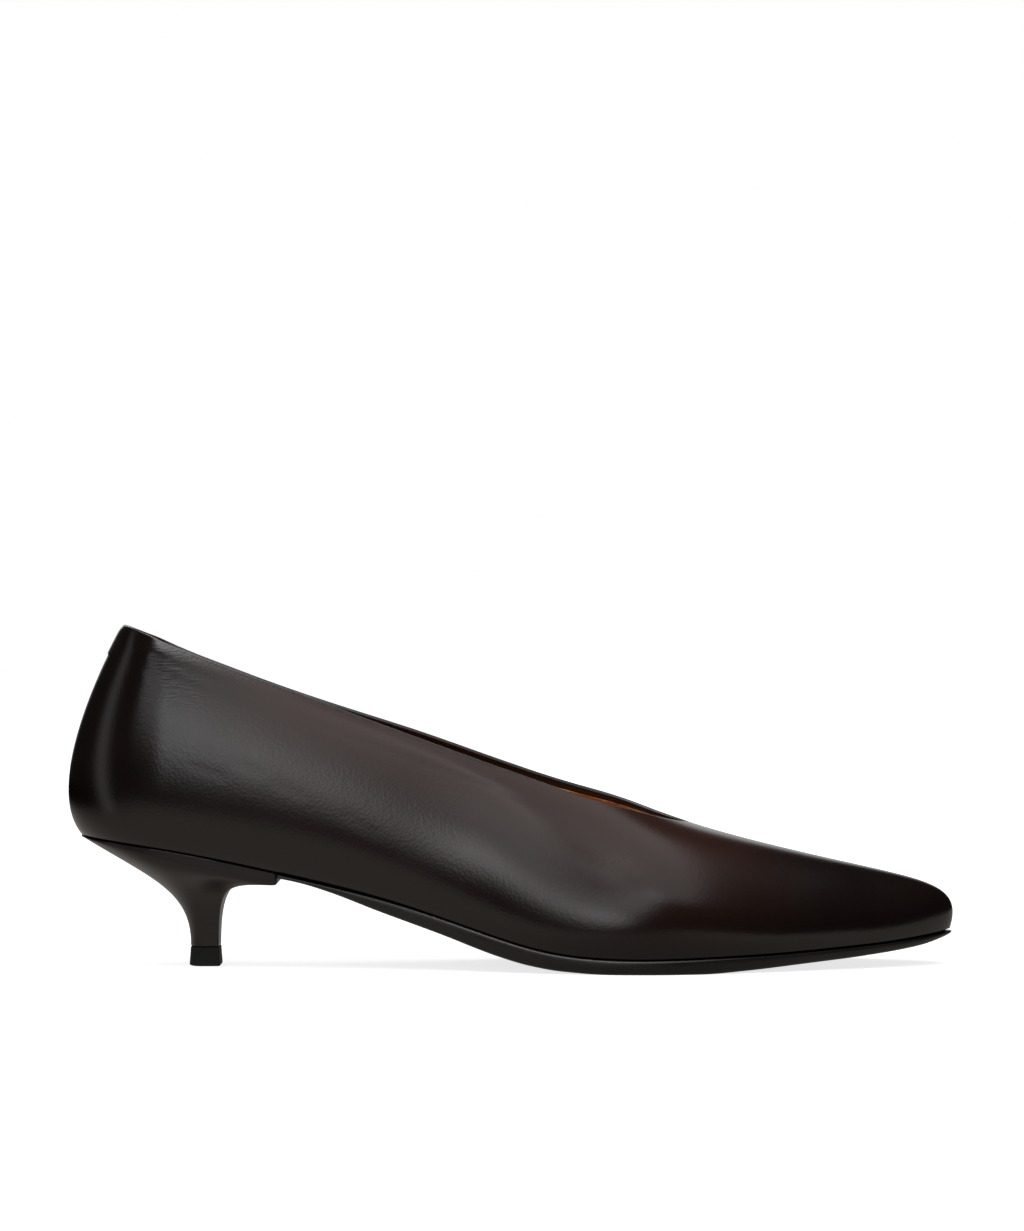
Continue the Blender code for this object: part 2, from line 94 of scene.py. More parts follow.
def spline(knots: Sequence[float], values: Sequence[float]) -> Curve:
    """Natural cubic spline: a chain of cubics with equal slope and bend where they meet.

    Args:
        knots: Rising places of the knots.
        values: Value at each knot.

    Returns:
        The spline as a function of an array.
    """
    x = np.asarray(knots, float)
    y = np.asarray(values, float)
    step = np.diff(x)
    rise = np.diff(y) / step
    inner = 2 * (step[:-1] + step[1:])
    system = np.eye(len(x))
    system[1:-1, 1:-1] = np.diag(inner) + np.diag(step[1:-1], 1) + np.diag(step[1:-1], -1)
    right = np.zeros(len(x))
    right[1:-1] = 6 * np.diff(rise)
    bend = np.linalg.solve(system, right)

    def at(q: Array) -> Array:
        """Value of the spline at each place of an array.

        Args:
            q: Places along the knots.

        Returns:
            The values.
        """
        q = np.asarray(q, float)
        i = np.clip(np.searchsorted(x, q) - 1, 0, len(x) - 2)
        d = q - x[i]
        slope = rise[i] - step[i] * (2 * bend[i] + bend[i + 1]) / 6
        return y[i] + d * (slope + d * (bend[i] / 2 + d * (bend[i + 1] - bend[i]) / (6 * step[i])))

    return at


def level_keeping(knots: Sequence[float], values: Sequence[float]) -> Curve:
    """Monotone cubic curve: its slope at a knot is the harmonic mean of the slopes beside it, or zero.

    Args:
        knots: Rising places of the knots.
        values: Value at each knot.

    Returns:
        The curve as a function of an array, flat wherever its table is flat.
    """
    x = np.asarray(knots, float)
    y = np.asarray(values, float)
    step = np.diff(x)
    rise = np.diff(y) / step
    before = 2 * step[1:] + step[:-1]
    after = step[1:] + 2 * step[:-1]
    with np.errstate(divide="ignore"):
        mean = (before + after) / (before / rise[:-1] + after / rise[1:])
    slope = np.concatenate(([rise[0]], np.where(rise[:-1] * rise[1:] > 0, mean, 0.0), [rise[-1]]))

    def at(q: Array) -> Array:
        """Value of the curve at each place of an array.

        Args:
            q: Places along the knots.

        Returns:
            The values.
        """
        q = np.asarray(q, float)
        i = np.clip(np.searchsorted(x, q, side="right") - 1, 0, len(x) - 2)
        t = (q - x[i]) / step[i]
        start = (1 + 2 * t) * (1 - t) ** 2 * y[i] + t * (1 - t) ** 2 * step[i] * slope[i]
        return start + t * t * (3 - 2 * t) * y[i + 1] + t * t * (t - 1) * step[i] * slope[i + 1]

    return at


def cubic(points: Sequence[Array], share: Array) -> Array:
    """Cubic Bezier curve: the four points weighted by the Bernstein polynomials of the share.

    Args:
        points: Four points, or four arrays of points.
        share: Place on the curve, from 0 to 1.

    Returns:
        Points of the curve.
    """
    rest = 1 - share
    weights = (rest ** 3, 3 * share * rest ** 2, 3 * share ** 2 * rest, share ** 3)
    return sum(weight * point for weight, point in zip(weights, points))


def smooth_step(value: Array, low: float, high: float) -> Array:
    """Eased ramp: 0 up to low, 1 from high on, and 3t2 - 2t3 between them."""
    t = np.clip((np.asarray(value, float) - low) / (high - low), 0, 1)
    return t * t * (3 - 2 * t)


def plateau(value: Array, rise: Span, fall: Span) -> Array:
    """Eased rise from 0 to 1, then an eased fall back to 0: the product of two eased ramps."""
    return smooth_step(value, *rise) * (1 - smooth_step(value, *fall))


def evenly(start: float, stop: float, step: float) -> Array:
    """Even places from start to stop, about a step apart."""
    return np.linspace(start, stop, round((stop - start) / step) + 1)


def bridge(near: Array, far: Array, steps: int) -> Array:
    """Straight rows from one line of points to another: their weighted means in even steps."""
    share = np.linspace(0, 1, steps + 1)[:, None, None]
    return (1 - share) * near + share * far


def averaged(rows: Array, passes: int, weight: Array | float = 1.0) -> Array:
    """Rows blended with their neighbours in passes: each moves by a quarter of the second difference.

    Args:
        rows: Rows of points or numbers, of which the first and the last stay.
        passes: Number of passes.
        weight: Share of the move that each inner row takes.

    Returns:
        The blended rows.
    """
    soft = rows.copy()
    for _ in range(passes):
        soft[1:-1] += weight * (soft[:-2] - 2 * soft[1:-1] + soft[2:]) / 4
    return soft


def points_of(x: Array, y: Array, z: Array) -> Array:
    """Points from three arrays of coordinates that fit each other."""
    return np.stack(np.broadcast_arrays(x, y, z), axis=-1)


def unit(vectors: Array) -> Array:
    """Vectors scaled to length 1."""
    return vectors / np.linalg.norm(vectors, axis=-1, keepdims=True)


def show(name: str, data: bpy.types.ID) -> bpy.types.Object:
    """Make a new object at the origin and link it into the scene.

    Args:
        name: Name of the object.
        data: Its mesh, light or camera.

    Returns:
        The object.
    """
    shown = bpy.data.objects.new(name, data)
    bpy.context.scene.collection.objects.link(shown)
    return shown


@dataclass(frozen=True)
class Columns:
    """Columns of a grid along the shoe, each with its base station and its turn round an end."""

    base: Array
    turn: Array

    def __len__(self) -> int:
        """Number of columns."""
        return len(self.base)


@dataclass(frozen=True)
class Last:
    """The last: cross-sections that the upper, insole and sole all follow.

    The rounded ends start at heel_base and toe_base and close by their fullness. The two profiles hold the
    handles of a section's curve at the heel back and at the toe tip.
    """

    names: tuple[str, ...] = (
        "station", "feather_z", "lateral", "medial", "lateral_flare", "medial_flare",
        "hip_rise", "shoulder", "ridge_offset", "ridge_z", "swing",
    )
    sections: tuple[tuple[float, ...], ...] = (
        (3.9, 38.9, 22.6, 22.4, 11.0, 11.0, 13.2, 0.78, 0.0, 132.0, 0.0),
        (30.0, 35.4, 22.6, 22.4, 11.0, 11.0, 13.2, 0.78, 0.0, 132.0, 0.0),
        (62.0, 28.9, 22.3, 20.0, 12.0, 13.0, 12.5, 0.80, 1.0, 122.0, 0.0),
        (95.0, 20.9, 24.2, 18.3, 9.5, 14.0, 11.5, 0.80, 2.0, 106.0, 0.0),
        (120.0, 12.9, 28.0, 20.6, 7.0, 12.0, 10.6, 0.74, 2.5, 88.0, 0.0),
        (140.0, 7.0, 33.0, 25.6, 7.0, 9.5, 10.0, 0.68, 3.0, 70.0, 0.0),
        (160.0, 4.8, 37.0, 31.6, 7.3, 8.2, 16.0, 0.62, 3.0, 54.8, 0.1),
        (175.0, 4.7, 37.6, 34.8, 7.6, 8.0, 20.0, 0.60, 2.6, 45.8, 0.4),
        (190.0, 5.1, 34.8, 34.4, 6.8, 6.8, 17.5, 0.60, 1.9, 40.3, 1.0),
        (210.0, 5.8, 28.4, 28.6, 5.3, 5.3, 12.0, 0.60, 1.0, 35.0, 2.1),
        (228.0, 6.9, 21.6, 21.9, 4.0, 4.0, 10.0, 0.60, 0.4, 30.8, 3.2),
        (243.0, 8.1, 16.0, 16.2, 3.0, 3.0, 8.0, 0.60, 0.1, 27.4, 4.1),
        (261.0, 10.5, 10.0, 10.0, 2.0, 2.0, 7.0, 0.60, 0.0, 22.7, 4.9),
    )
    heel_base: float = 30.0
    toe_base: float = 232.0
    heel_fullness: float = 2.2
    toe_fullness: float = 3.0
    profile_names: tuple[str, ...] = ("feather_x", "hip_x", "hip_z", "shoulder_x", "crown_x")
    back_profile: tuple[float, ...] = (3.9, -13.3, 59.1, 31.0, 41.0)
    tip_profile: tuple[float, ...] = (261.6, 264.6, 20.1, 259.6, 245.8)
    least_half: float = 0.4
    slope_limit: float = 0.995

    @cached_property
    def curves(self) -> dict[str, Curve]:
        """One spline along the shoe for each column of the sections.

        Returns:
            The splines by the names of the columns.
        """
        columns = dict(zip(self.names, zip(*self.sections)))
        stations = columns.pop("station")
        return {name: spline(stations, values) for name, values in columns.items()}

    def at(self, name: str, x: Array) -> Array:
        """Value of one column of the sections at each station."""
        return self.curves[name](x)

    def ends(self, name: str) -> Span:
        """Value of one profile handle at the heel back and at the toe tip."""
        place = self.profile_names.index(name)
        return self.back_profile[place], self.tip_profile[place]

    def columns(self, stations: Array, quarter: int, heel: bool = True, toe: bool = True) -> Columns:
        """Columns over the given stations, with the rounded ends added. Turn is the sine of even angles.

        Args:
            stations: Side stations, from the first to the last.
            quarter: Number of steps round each rounded end.
            heel: Whether the heel back is there.
            toe: Whether the toe tip is there.

        Returns:
            The columns from heel to toe.
        """
        turn = np.sin(np.linspace(0, np.pi / 2, quarter + 1))
        bases, turns = [stations], [np.zeros(len(stations))]
        if heel:
            bases.insert(0, np.full(quarter, self.heel_base))
            turns.insert(0, -turn[:0:-1])
        if toe:
            bases.append(np.full(quarter, self.toe_base))
            turns.append(turn[1:])
        return Columns(np.concatenate(bases), np.concatenate(turns))

    def closing(self, turn: Array) -> Array:
        """Share of the half-width left at each turn: the root of 1 less the turn raised to the fullness.

        Args:
            turn: Turn of each column, down to -1 at the heel back and up to 1 at the toe tip.

        Returns:
            The shares, 1 along the sides and 0 at both ends.
        """
        heel = np.clip(-turn, 0, 1) ** self.heel_fullness
        toe = np.clip(turn, 0, 1) ** self.toe_fullness
        return np.sqrt(np.clip(1 - heel - toe, 0, 1))

    def along(self, base: Array, turn: Array, back_x: Array, tip_x: Array) -> Array:
        """X of each column: the base station, carried to the heel back or the toe tip with the turn."""
        heel = (back_x - self.heel_base) * np.clip(-turn, 0, 1)
        return base + heel + (tip_x - self.toe_base) * np.clip(turn, 0, 1)

    def outline(
        self, side: Side, columns: Columns, inset: Array | float, tip_inset: float | None = None
    ) -> Array:
        """Half of the feather line drawn in by an inset: half-width less inset, closed round the ends.

        Args:
            side: Side of the shoe.
            columns: Columns along the shoe.
            inset: Distance that the line moves in, or out where negative.
            tip_inset: Other inset at the toe tip.

        Returns:
            X and Y of each column, as rows of two.
        """
        tip_inset = inset if tip_inset is None else tip_inset
        back_x, tip_x = self.ends("feather_x")
        base, turn = columns.base, columns.turn
        own_x = self.along(base, turn, back_x, tip_x)
        x = self.along(base, turn, back_x + inset, tip_x - tip_inset)
        half = self.at(side.label, np.where(turn > 0, own_x, base))
        half = np.maximum(half - inset, self.least_half * half)
        return np.stack((x, self.at("swing", own_x) + side.value * half * self.closing(turn)), axis=-1)

    def wall(self, side: Side, base: Array, turn: Array, share: Array) -> Array:
        """Points of the wall: in each section a cubic from feather edge by hip and shoulder to ridge.

        Args:
            side: Side of the shoe.
            base: Base station of each point.
            turn: Turn of each point round the heel back or the toe tip.
            share: Place on the section's curve, 0 at the feather edge and 1 on the ridge.

        Returns:
            The points.
        """
        heel = np.clip(-turn, 0, 1)
        toe = np.clip(turn, 0, 1)
        drawn = self.closing(turn)
        straight = 1 - heel ** 2 - toe ** 2
        handles = ("feather_x", "hip_x", "shoulder_x", "crown_x")
        feather_x, hip_x, shoulder_x, crown_x = (
            self.along(base, turn, *self.ends(name)) for name in handles
        )
        section_x = np.where(turn > 0, feather_x, base)
        ridge_x = np.where(turn > 0, crown_x, base)
        half = self.at(side.label, section_x)
        swing = self.at("swing", section_x)
        feather = points_of(feather_x, swing + side.value * half * drawn, self.at("feather_z", feather_x))
        hip_z = straight * (self.at("feather_z", section_x) + self.at("hip_rise", section_x))
        hip_z = hip_z + self.ends("hip_z")[0] * heel ** 2 + self.ends("hip_z")[1] * toe ** 2
        hip_y = swing + side.value * (half + self.at(side.label + "_flare", section_x)) * drawn
        hip = points_of(hip_x, hip_y, hip_z)
        crown_y = self.at("swing", ridge_x) + self.at("ridge_offset", ridge_x) * straight
        crown = points_of(crown_x, crown_y, self.at("ridge_z", ridge_x))
        fall = self.at("ridge_z", ridge_x + NUDGE) - self.at("ridge_z", ridge_x - NUDGE)
        slope = np.where(turn > 0, fall / (2 * NUDGE), 0.0)
        shoulder_y = crown[..., 1] + self.at("shoulder", section_x) * (feather[..., 1] - crown[..., 1])
        shoulder = points_of(shoulder_x, shoulder_y, crown[..., 2] + slope * (shoulder_x - crown_x))
        return cubic((feather, hip, shoulder, crown), np.asarray(share)[..., None])

    def normals(self, side: Side, base: Array, turn: Array, share: Array) -> Array:
        """Outward unit normals of the wall: the cross product of its slopes up and along.

        Args:
            side: Side of the shoe.
            base: Base station of each point.
            turn: Turn of each point.
            share: Place on the section's curve.

        Returns:
            The normals.
        """
        share = np.clip(share, NUDGE, self.slope_limit)
        most = np.pi / 2 - 2 * NUDGE
        angle = np.clip(np.arcsin(turn), -most, most)
        on_side = turn == 0
        ahead = self.wall(side, base + NUDGE * on_side, np.sin(angle + NUDGE * ~on_side), share)
        behind = self.wall(side, base - NUDGE * on_side, np.sin(angle - NUDGE * ~on_side), share)
        up = self.wall(side, base, turn, share + NUDGE) - self.wall(side, base, turn, share - NUDGE)
        return unit(side.value * np.cross(up, ahead - behind))

    def wall_pair(self, base: Array, turn: Array, shares: Halves) -> tuple[Halves, Halves]:
        """Points and normals of both sides, with the same normal wherever the two sides join.

        Args:
            base: Base station of each point.
            turn: Turn of each column.
            shares: Place on the section's curve, by side.

        Returns:
            The points and the normals, by side.
        """
        points = {side: self.wall(side, base, turn, shares[side]) for side in Side}
        normals = {side: self.normals(side, base, turn, shares[side]) for side in Side}
        on_ridge = (shares[Side.LATERAL] >= 1) & (shares[Side.MEDIAL] >= 1)
        joined = on_ridge | (np.abs(turn) == 1)
        shared = unit(normals[Side.LATERAL][joined] + normals[Side.MEDIAL][joined])
        for side in Side:
            normals[side][joined] = shared
        return points, normals


@dataclass(frozen=True)
class Collar:
    """The collar line: its height at each station, and the throat where its sides meet on the ridge.

    Columns lean back from fan_start on, so that the one at fan_apex ends at the throat. The two numbers in
    rounding are the powers by which the lateral and the medial line ease to it.
    """

    stations: tuple[float, ...] = (
        15.5, 19.5, 23.0, 27.0, 31.0, 36.0, 43.0, 52.0, 70.0, 87.0, 104.0, 122.0, 140.0, 157.0,
    )
    lateral: tuple[float, ...] = (
        101.3, 99.95, 98.75, 97.2, 95.6, 93.65, 90.95, 87.5, 81.0, 74.5, 68.3, 61.9, 55.8, 49.4,
    )
    medial: tuple[float, ...] = (
        101.3, 99.3, 97.9, 96.2, 94.5, 92.4, 89.7, 86.3, 79.9, 74.4, 69.0, 62.8, 56.9, 51.8,
    )
    throat_x: float = 183.0
    rounding: Span = (0.5, 0.75)
    gather: float = 10.0
    fan_start: float = 140.0
    fan_apex: float = 198.0
    fan_bend: float = 1.5
    solve_samples: int = 400
    blend_reach: float = 10.0
    blend_passes: int = 40

    def side_stations(self, last: Last, step: float, near: int) -> Array:
        """Side stations: even, and crowding by squares towards the column that ends at the throat.

        Args:
            last: The last that carries the collar.
            step: Distance between stations away from the throat.
            near: Number of stations that crowd on each side of the throat's column.

        Returns:
            The stations from heel base to toe base.
        """
        crowd = self.gather * np.linspace(1, 0, near + 1) ** 2
        rear = evenly(last.heel_base, self.fan_apex - self.gather, step)
        front = evenly(self.fan_apex + self.gather, last.toe_base, step)
        return np.concatenate((rear, self.fan_apex - crowd[1:], self.fan_apex + crowd[-2:0:-1], front))

    def top_stations(self, last: Last, base: Array, drop: float) -> Array:
        """Station where each column ends: the columns lean back so that one of them ends at the throat.

        Args:
            last: The last that carries the collar.
            base: Base station of each column at the sole.
            drop: Distance below the collar line.

        Returns:
            Base station of each column at its top.
        """
        throat = self.throat_x + drop
        reach = self.fan_apex - self.fan_start
        run = throat - self.fan_start
        behind = throat - run * (np.clip(self.fan_apex - base, 0, reach) / reach) ** (reach / run)
        ahead = (last.toe_base - throat) / (last.toe_base - self.fan_apex) * (base - self.fan_apex)
        fanned = np.where(base > self.fan_apex, throat + ahead, behind)
        return np.where(base < self.fan_start, base, fanned)

    def shares(self, last: Last, base: Array, turn: Array, drop: float, extra: Array | float) -> Halves:
        """Share of each section where the collar line cuts it: solved by height, eased to the throat.

        Args:
            last: The last that carries the collar.
            base: Base station of each column's top.
            turn: Turn of each column.
            drop: Distance below the collar line.
            extra: Further distance below it at each column, before the throat.

        Returns:
            The shares by side, 1 from the throat on.
        """
        samples = np.linspace(0, 1, self.solve_samples)
        start = self.stations[-1]
        throat = self.throat_x + drop
        to_throat = np.clip((throat - base) / (throat - start), 0, 1)
        shares = {}
        for side, rounding in zip(Side, self.rounding):
            height = spline(self.stations, getattr(self, side.label))
            points = last.wall(side, np.minimum(base, start), turn, samples[:, None])
            above = points[..., 2] - height(points[..., 0]) + drop + extra
            cut = np.array([np.interp(0.0, column, samples) for column in above.T])
            eased = 1 - (1 - cut) * to_throat ** rounding
            shares[side] = averaged(eased, self.blend_passes, self.blend_weight(base))
        at_back = (shares[Side.LATERAL][0] + shares[Side.MEDIAL][0]) / 2
        for side in Side:
            shares[side][0] = at_back
        return shares

    def blend_weight(self, base: Array) -> Array:
        """Weight of the blend at each inner column: a bell where the line turns to the throat."""
        return np.exp(-((base[1:-1] - self.stations[-1]) / self.blend_reach) ** 2)

    def wall(
        self, last: Last, columns: Columns, rows: Array, drop: float, extra: Array | float = 0.0
    ) -> tuple[Halves, Halves, int]:
        """Both walls up to a line below the collar: even shares up each leaning column.

        Args:
            last: The last that carries the collar.
            columns: Columns along the shoe.
            rows: Share of the height of each row, from 0 to 1.
            drop: Distance below the collar line at which the walls end.
            extra: Further distance below it at each column, before the throat.

        Returns:
            Points and normals by side, and the number of columns up to the throat.
        """
        top = self.top_stations(last, columns.base, drop)
        cut = self.shares(last, top, columns.turn, drop, extra)
        leaning = columns.base + (top - columns.base) * rows[:, None] ** self.fan_bend
        shares = {side: rows[:, None] * cut[side] for side in Side}
        points, normals = last.wall_pair(leaning, columns.turn, shares)
        return points, normals, int(np.argmin(np.abs(columns.base - self.fan_apex))) + 1


def grid_faces(rows: int, columns: int, first: int) -> Array:
    """Four-sided faces of one grid: each point with its neighbours above, beyond and beside.

    Args:
        rows: Number of rows of points.
        columns: Number of columns of points.
        first: Number of the grid's first point.

    Returns:
        The faces, as rows of four point numbers.
    """
    index = first + np.arange(rows * columns).reshape(rows, columns)
    quads = np.stack((index[:-1, :-1], index[1:, :-1], index[1:, 1:], index[:-1, 1:]), axis=-1)
    return quads.reshape(-1, 4)


@dataclass
class Piece:
    """One dressed piece: grids of points that meet along their borders, with masks for its finish."""

    name: str
    node: str
    slot: str
    finish: Finish
    grids: list[Array] = field(default_factory=list)
    masks: list[Array] = field(default_factory=list)
    strokes: list[Array] = field(default_factory=list)
    sharp_angle: float = 0.9
    weld: float = 0.002

    def add(self, grid: Array, mask: Array | float = 0.0, strokes: Array | float = 0.0) -> None:
        """Add one grid of points.

        Args:
            grid: Points in rows and columns.
            mask: Share of the finish's painted light colour at each point, or of its painted shade colour
                below 0.
            strokes: Share of the fine strokes at each point.
        """
        self.grids.append(grid)
        self.masks.append(np.broadcast_to(mask, grid.shape[:2]))
        self.strokes.append(np.broadcast_to(strokes, grid.shape[:2]))

    def add_caps(self, halves: Halves) -> None:
        """Add caps across the first and the last level of two matching halves."""
        for level in (0, -1):
            self.add(np.stack([halves[side][level] for side in Side]))

    def build(self) -> bpy.types.Object:
        """Write the mesh, weld its borders, dress it and hand it to the frame.

        Returns:
            The finished object, at the origin.
        """
        counts = np.cumsum([0] + [grid.shape[0] * grid.shape[1] for grid in self.grids])
        points = np.concatenate([grid.reshape(-1, 3) for grid in self.grids])
        faces = np.concatenate([grid_faces(*g.shape[:2], first) for g, first in zip(self.grids, counts)])
        mesh = bpy.data.meshes.new(self.name)
        mesh.from_pydata(((points - ORIGIN) * MM).tolist(), [], faces.tolist())
        for name, values in (("painted_light_shade_mask", self.masks), ("stroke_mask", self.strokes)):
            layer = mesh.attributes.new(name, "FLOAT", "POINT")
            flat = np.concatenate([grid.ravel() for grid in values])
            layer.data.foreach_set("value", flat.astype(np.float32))
        work = bmesh.new()
        work.from_mesh(mesh)
        bmesh.ops.remove_doubles(work, verts=work.verts, dist=self.weld * MM)
        bmesh.ops.dissolve_degenerate(work, edges=work.edges, dist=self.weld * MM)
        bmesh.ops.recalc_face_normals(work, faces=work.faces)
        work.to_mesh(mesh)
        work.free()
        mesh.shade_smooth()
        mesh.set_sharp_from_angle(angle=self.sharp_angle)
        mesh.materials.append(self.finish.material())
        piece = show(self.name, mesh)
        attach(piece, "root")
        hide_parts(self.node)
        mesh.calc_loop_triangles()
        LOG.info("%s: %d triangles for %s", self.name, len(mesh.loop_triangles), self.node)
        return piece


@dataclass
class NodeTree:
    """A node tree under construction, with short ways to add and join nodes."""

    tree: bpy.types.NodeTree

    def add(self, kind: str, **values: object) -> bpy.types.Node:
        """Add one node and set it up.

        Args:
            kind: Blender's name for the node type.
            values: Properties of the node, or values of its inputs by name with _ for a space.

        Returns:
            The node.
        """
        node = self.tree.nodes.new(kind)
        for name, value in values.items():
            if hasattr(node, name):
                setattr(node, name, value)
            else:
                node.inputs[name.replace("_", " ")].default_value = value
        return node

    def join(self, source: Socket, target: Socket) -> None:
        """Join one socket to another."""
        self.tree.links.new(source, target)

    def maths(
        self, operation: str, first: float | Socket, second: float | Socket, clamp: bool = False
    ) -> Socket:
        """One sum on two values, each a number or a socket.

        Args:
            operation: Blender's name for the sum.
            first: First value.
            second: Second value.
            clamp: Whether the result stays between 0 and 1.

        Returns:
            The socket with the result.
        """
        node = self.add("ShaderNodeMath", operation=operation, use_clamp=clamp)
        for socket, value in zip(node.inputs, (first, second)):
            if isinstance(value, Socket):
                self.join(value, socket)
            else:
                socket.default_value = value
        return node.outputs[0]

    def mix(self, factor: Socket, first: Colour | Socket, second: Colour | Socket) -> Socket:
        """Blend of two colours, each a colour or a socket, by a factor.

        Args:
            factor: Socket of the share of the second colour.
            first: First colour.
            second: Second colour.

        Returns:
            The socket with the blend.
        """
        node = self.add("ShaderNodeMix", data_type="RGBA")
        self.join(factor, node.inputs["Factor"])
        for number, value in zip(MIX_INPUTS, (first, second)):
            if isinstance(value, Socket):
                self.join(value, node.inputs[number])
            else:
                node.inputs[number].default_value = (*value, 1.0)
        return node.outputs[MIX_RESULT]

    def ramp(self, value: Socket, low: float, high: float) -> Socket:
        """Eased ramp of a value: 0 at low, 1 at high, and 3t2 - 2t3 between them.

        Args:
            value: Socket of the value.
            low: Value where the ramp starts.
            high: Value where the ramp ends.

        Returns:
            The socket with the result.
        """
        node = self.add(
            "ShaderNodeMapRange", interpolation_type="SMOOTHSTEP", From_Min=low, From_Max=high
        )
        self.join(value, node.inputs["Value"])
        return node.outputs[0]


@dataclass(frozen=True)
class CloudLayer:
    """One layer of the uneven dye: its scale and weight in the whole, and the detail of its noise."""

    scale: float
    weight: float
    detail: float
    roughness: float


class Effect:
    """Shader node groups that several finishes share, each built once."""

    BREAKUP_SCALE: ClassVar[float] = 0.75
    BREAKUP_HEIGHT: ClassVar[float] = 0.8
    CELL_HEIGHT: ClassVar[float] = 0.7
    PORE_SCALE: ClassVar[float] = 1500.0
    PORE_EDGE: ClassVar[Span] = (0.10, 0.34)
    CLOUD_EDGE: ClassVar[Span] = (0.32, 0.68)
    CLOUDS: ClassVar[tuple[CloudLayer, ...]] = (
        CloudLayer(scale=1.0, weight=0.75, detail=2.0, roughness=0.5),
        CloudLayer(scale=6.0, weight=0.25, detail=3.0, roughness=0.6),
    )

    @staticmethod
    def start(
        name: str, inputs: Sequence[str], outputs: Sequence[str]
    ) -> tuple[NodeTree, bpy.types.Node, bpy.types.Node]:
        """Make an empty group with its sockets.

        Args:
            name: Name of the group.
            inputs: Names of the inputs, of which Vector is a place and the others are numbers.
            outputs: Names of the outputs, all numbers.

        Returns:
            The tree, its input node and its output node.
        """
        group = bpy.data.node_groups.new(name, "ShaderNodeTree")
        for sockets, way in ((inputs, "INPUT"), (outputs, "OUTPUT")):
            for label in sockets:
                kind = "NodeSocketVector" if label == "Vector" else "NodeSocketFloat"
                group.interface.new_socket(name=label, in_out=way, socket_type=kind)
        tree = NodeTree(group)
        return tree, tree.add("NodeGroupInput"), tree.add("NodeGroupOutput")

    @classmethod
    def grain(cls) -> bpy.types.NodeTree:
        """Leather grain: rounded cells by distance to the nearest point, broken up by noise, with pores.

        Returns:
            The group, from Vector, Cell Scale and Pore Depth to Height and Pores.
        """
        if "leather_grain" in bpy.data.node_groups:
            return bpy.data.node_groups["leather_grain"]
        tree, entry, result = cls.start(
            "leather_grain", ("Vector", "Cell Scale", "Pore Depth"), ("Height", "Pores")
        )
        cells = tree.add("ShaderNodeTexVoronoi", feature="F1", Randomness=1.0)
        tree.join(entry.outputs["Vector"], cells.inputs["Vector"])
        tree.join(entry.outputs["Cell Scale"], cells.inputs["Scale"])
        breakup = tree.add("ShaderNodeTexNoise", Detail=4.0, Roughness=0.6)
        tree.join(entry.outputs["Vector"], breakup.inputs["Vector"])
        breakup_scale = tree.maths("MULTIPLY", entry.outputs["Cell Scale"], cls.BREAKUP_SCALE)
        tree.join(breakup_scale, breakup.inputs["Scale"])
        pores = tree.add("ShaderNodeTexVoronoi", feature="F1", Scale=cls.PORE_SCALE, Randomness=1.0)
        tree.join(entry.outputs["Vector"], pores.inputs["Vector"])
        pits = tree.maths("SUBTRACT", 1.0, tree.ramp(pores.outputs["Distance"], *cls.PORE_EDGE))
        cell_height = tree.maths("MULTIPLY", cells.outputs["Distance"], cls.CELL_HEIGHT)
        breakup_height = tree.maths("MULTIPLY", breakup.outputs[0], cls.BREAKUP_HEIGHT)
        rough = tree.maths("ADD", cell_height, breakup_height)
        sunk = tree.maths("MULTIPLY", pits, entry.outputs["Pore Depth"])
        tree.join(tree.maths("SUBTRACT", rough, sunk), result.inputs["Height"])
        tree.join(pits, result.inputs["Pores"])
        return tree.tree

    @classmethod
    def mottle(cls) -> bpy.types.NodeTree:
        """Uneven dye: broad clouds of noise, with a finer cloud at a third of their weight.

        Returns:
            The group, from Vector and Cloud Scale to Clouds.
        """
        if "uneven_dye" in bpy.data.node_groups:
            return bpy.data.node_groups["uneven_dye"]
        tree, entry, result = cls.start("uneven_dye", ("Vector", "Cloud Scale"), ("Clouds",))
        blend: float | Socket = 0.0
        for layer in cls.CLOUDS:
            noise = tree.add("ShaderNodeTexNoise", Detail=layer.detail, Roughness=layer.roughness)
            tree.join(entry.outputs["Vector"], noise.inputs["Vector"])
            scale = tree.maths("MULTIPLY", entry.outputs["Cloud Scale"], layer.scale)
            tree.join(scale, noise.inputs["Scale"])
            blend = tree.maths("ADD", blend, tree.maths("MULTIPLY", noise.outputs[0], layer.weight))
        tree.join(tree.ramp(blend, *cls.CLOUD_EDGE), result.inputs["Clouds"])
        return tree.tree


